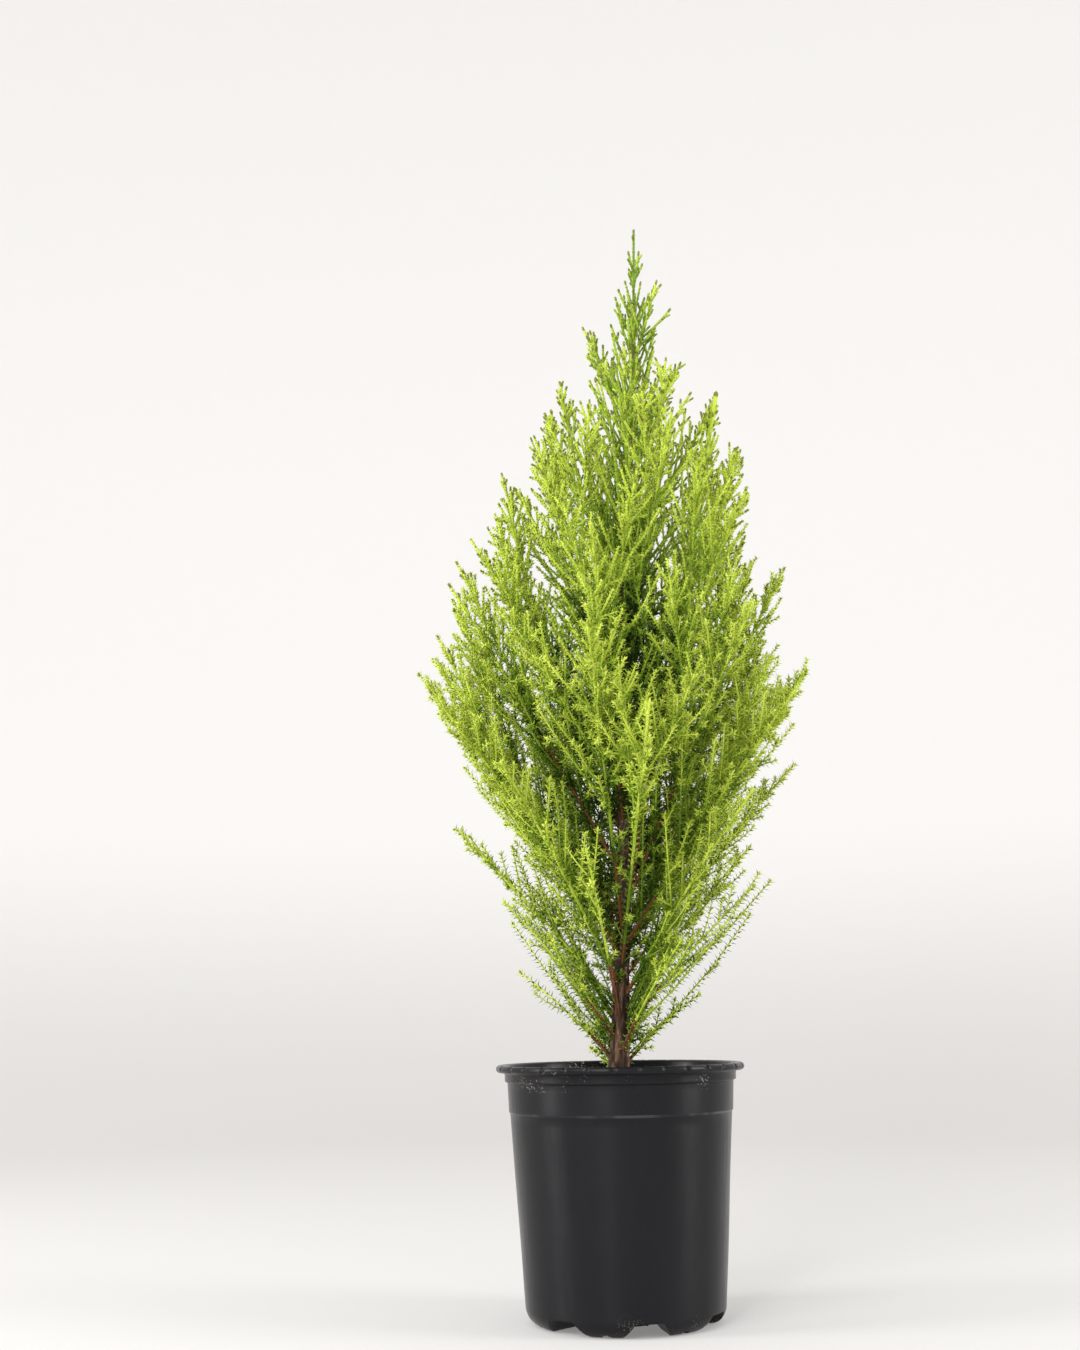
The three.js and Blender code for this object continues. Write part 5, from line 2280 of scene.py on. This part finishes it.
@dataclass
class Studio:
    """The pale floor with its upturned edge, the lights and the camera."""

    sizes: StudioSizes = field(default_factory=StudioSizes)

    def build(self) -> None:
        """Makes the floor, the lights, the sky and the camera."""
        self.floor()
        self.sky()
        for box in self.sizes.softboxes:
            self.hang(box)
        self.camera()
        bpy.context.scene.view_settings.view_transform = "Standard"

    def floor(self) -> None:
        """Makes a round floor that bends up into a wall on every side."""
        size = self.sizes
        turn = np.linspace(0, TURN / 4, size.bend_steps)
        bend_out = size.floor_radius - size.bend_radius + size.bend_radius * np.sin(turn)
        bend_up = size.bend_radius * (1 - np.cos(turn))
        out = np.concatenate([size.flat_rings, bend_out, [size.floor_radius]])[:, None] / MM
        up = np.concatenate([np.zeros(len(size.flat_rings)), bend_up, [size.wall_height]])[:, None] / MM
        angle = np.arange(size.columns) / size.columns * TURN
        places = np.stack([out * np.cos(angle), out * np.sin(angle), up + 0 * angle], axis=-1)
        finish = NodeFinish("pale_floor")
        rise = finish.graph.spread(finish.height(), 0.0, size.glow_height, 0.0, 1.0)
        glow = finish.graph.mix(rise, screen(*size.glow_low), screen(*size.glow_high))
        material = finish.feed(Base_Color=screen(*size.floor_colour), Roughness=size.floor_roughness,
                               Specular_IOR_Level=size.floor_specular, Emission_Color=glow,
                               Emission_Strength=size.floor_glow)
        piece = mesh_piece("floor", places.reshape(-1, 3), grid_faces(len(out), size.columns), [material])
        shade_smooth(piece, size.floor_sharpness)

    def sky(self) -> None:
        """Makes an even pale sky."""
        world = bpy.data.worlds.new("studio_sky")
        world.use_nodes = True
        background = world.node_tree.nodes["Background"]
        background.inputs["Color"].default_value = screen(*self.sizes.sky_colour)
        background.inputs["Strength"].default_value = self.sizes.sky_strength
        bpy.context.scene.world = world

    def hang(self, box: Softbox) -> None:
        """Hangs a soft light that faces the crown's middle.

        Args:
            box: The light's sizes.
        """
        light = bpy.data.lights.new(box.name, "AREA")
        light.shape = "RECTANGLE"
        light.size = box.width
        light.size_y = box.height
        light.energy = box.power
        lamp = bpy.data.objects.new(box.name, light)
        aim = Vector(self.sizes.light_aim) - Vector(box.place)
        turned = aim.to_track_quat("-Z", "Y").to_matrix().to_4x4()
        lamp.matrix_world = Matrix.Translation(box.place) @ turned
        bpy.context.scene.collection.objects.link(lamp)

    def camera(self) -> None:
        """Sets the camera at the photograph's viewing angle."""
        size = self.sizes
        ahead = Vector((-math.sin(size.yaw) * math.cos(size.pitch),
                        math.cos(size.yaw) * math.cos(size.pitch), math.sin(size.pitch)))
        right = Vector((math.cos(size.yaw), math.sin(size.yaw), 0.0))
        above = right.cross(ahead)
        across = right * math.cos(size.roll) + above * math.sin(size.roll)
        upright = above * math.cos(size.roll) - right * math.sin(size.roll)
        lens = bpy.data.cameras.new("camera")
        lens.sensor_fit = "AUTO"
        lens.sensor_width = size.sensor
        lens.lens = size.focal_pixels / size.frame_height * size.sensor
        eye = bpy.data.objects.new("camera", lens)
        turned = Matrix((across, upright, -ahead)).transposed().to_4x4()
        eye.matrix_world = Matrix.Translation(size.camera_place) @ turned
        bpy.context.scene.collection.objects.link(eye)
        bpy.context.scene.camera = eye


def main() -> None:
    """Builds the studio and every piece of the plant, in order."""
    logging.basicConfig(level=logging.INFO, format="%(message)s")
    Studio().build()
    NurseryPot().build()
    mix = PottingMix()
    mix.bed()
    mix.chips()
    limbs = LimbRule().grow()
    Trunk().build()
    Boughs().build(limbs)
    foliage = Foliage()
    groups = foliage.grow(limbs)
    foliage.needle_pieces(groups, limbs)
    foliage.twig_pieces(groups)


if __name__ == "__main__":
    main()
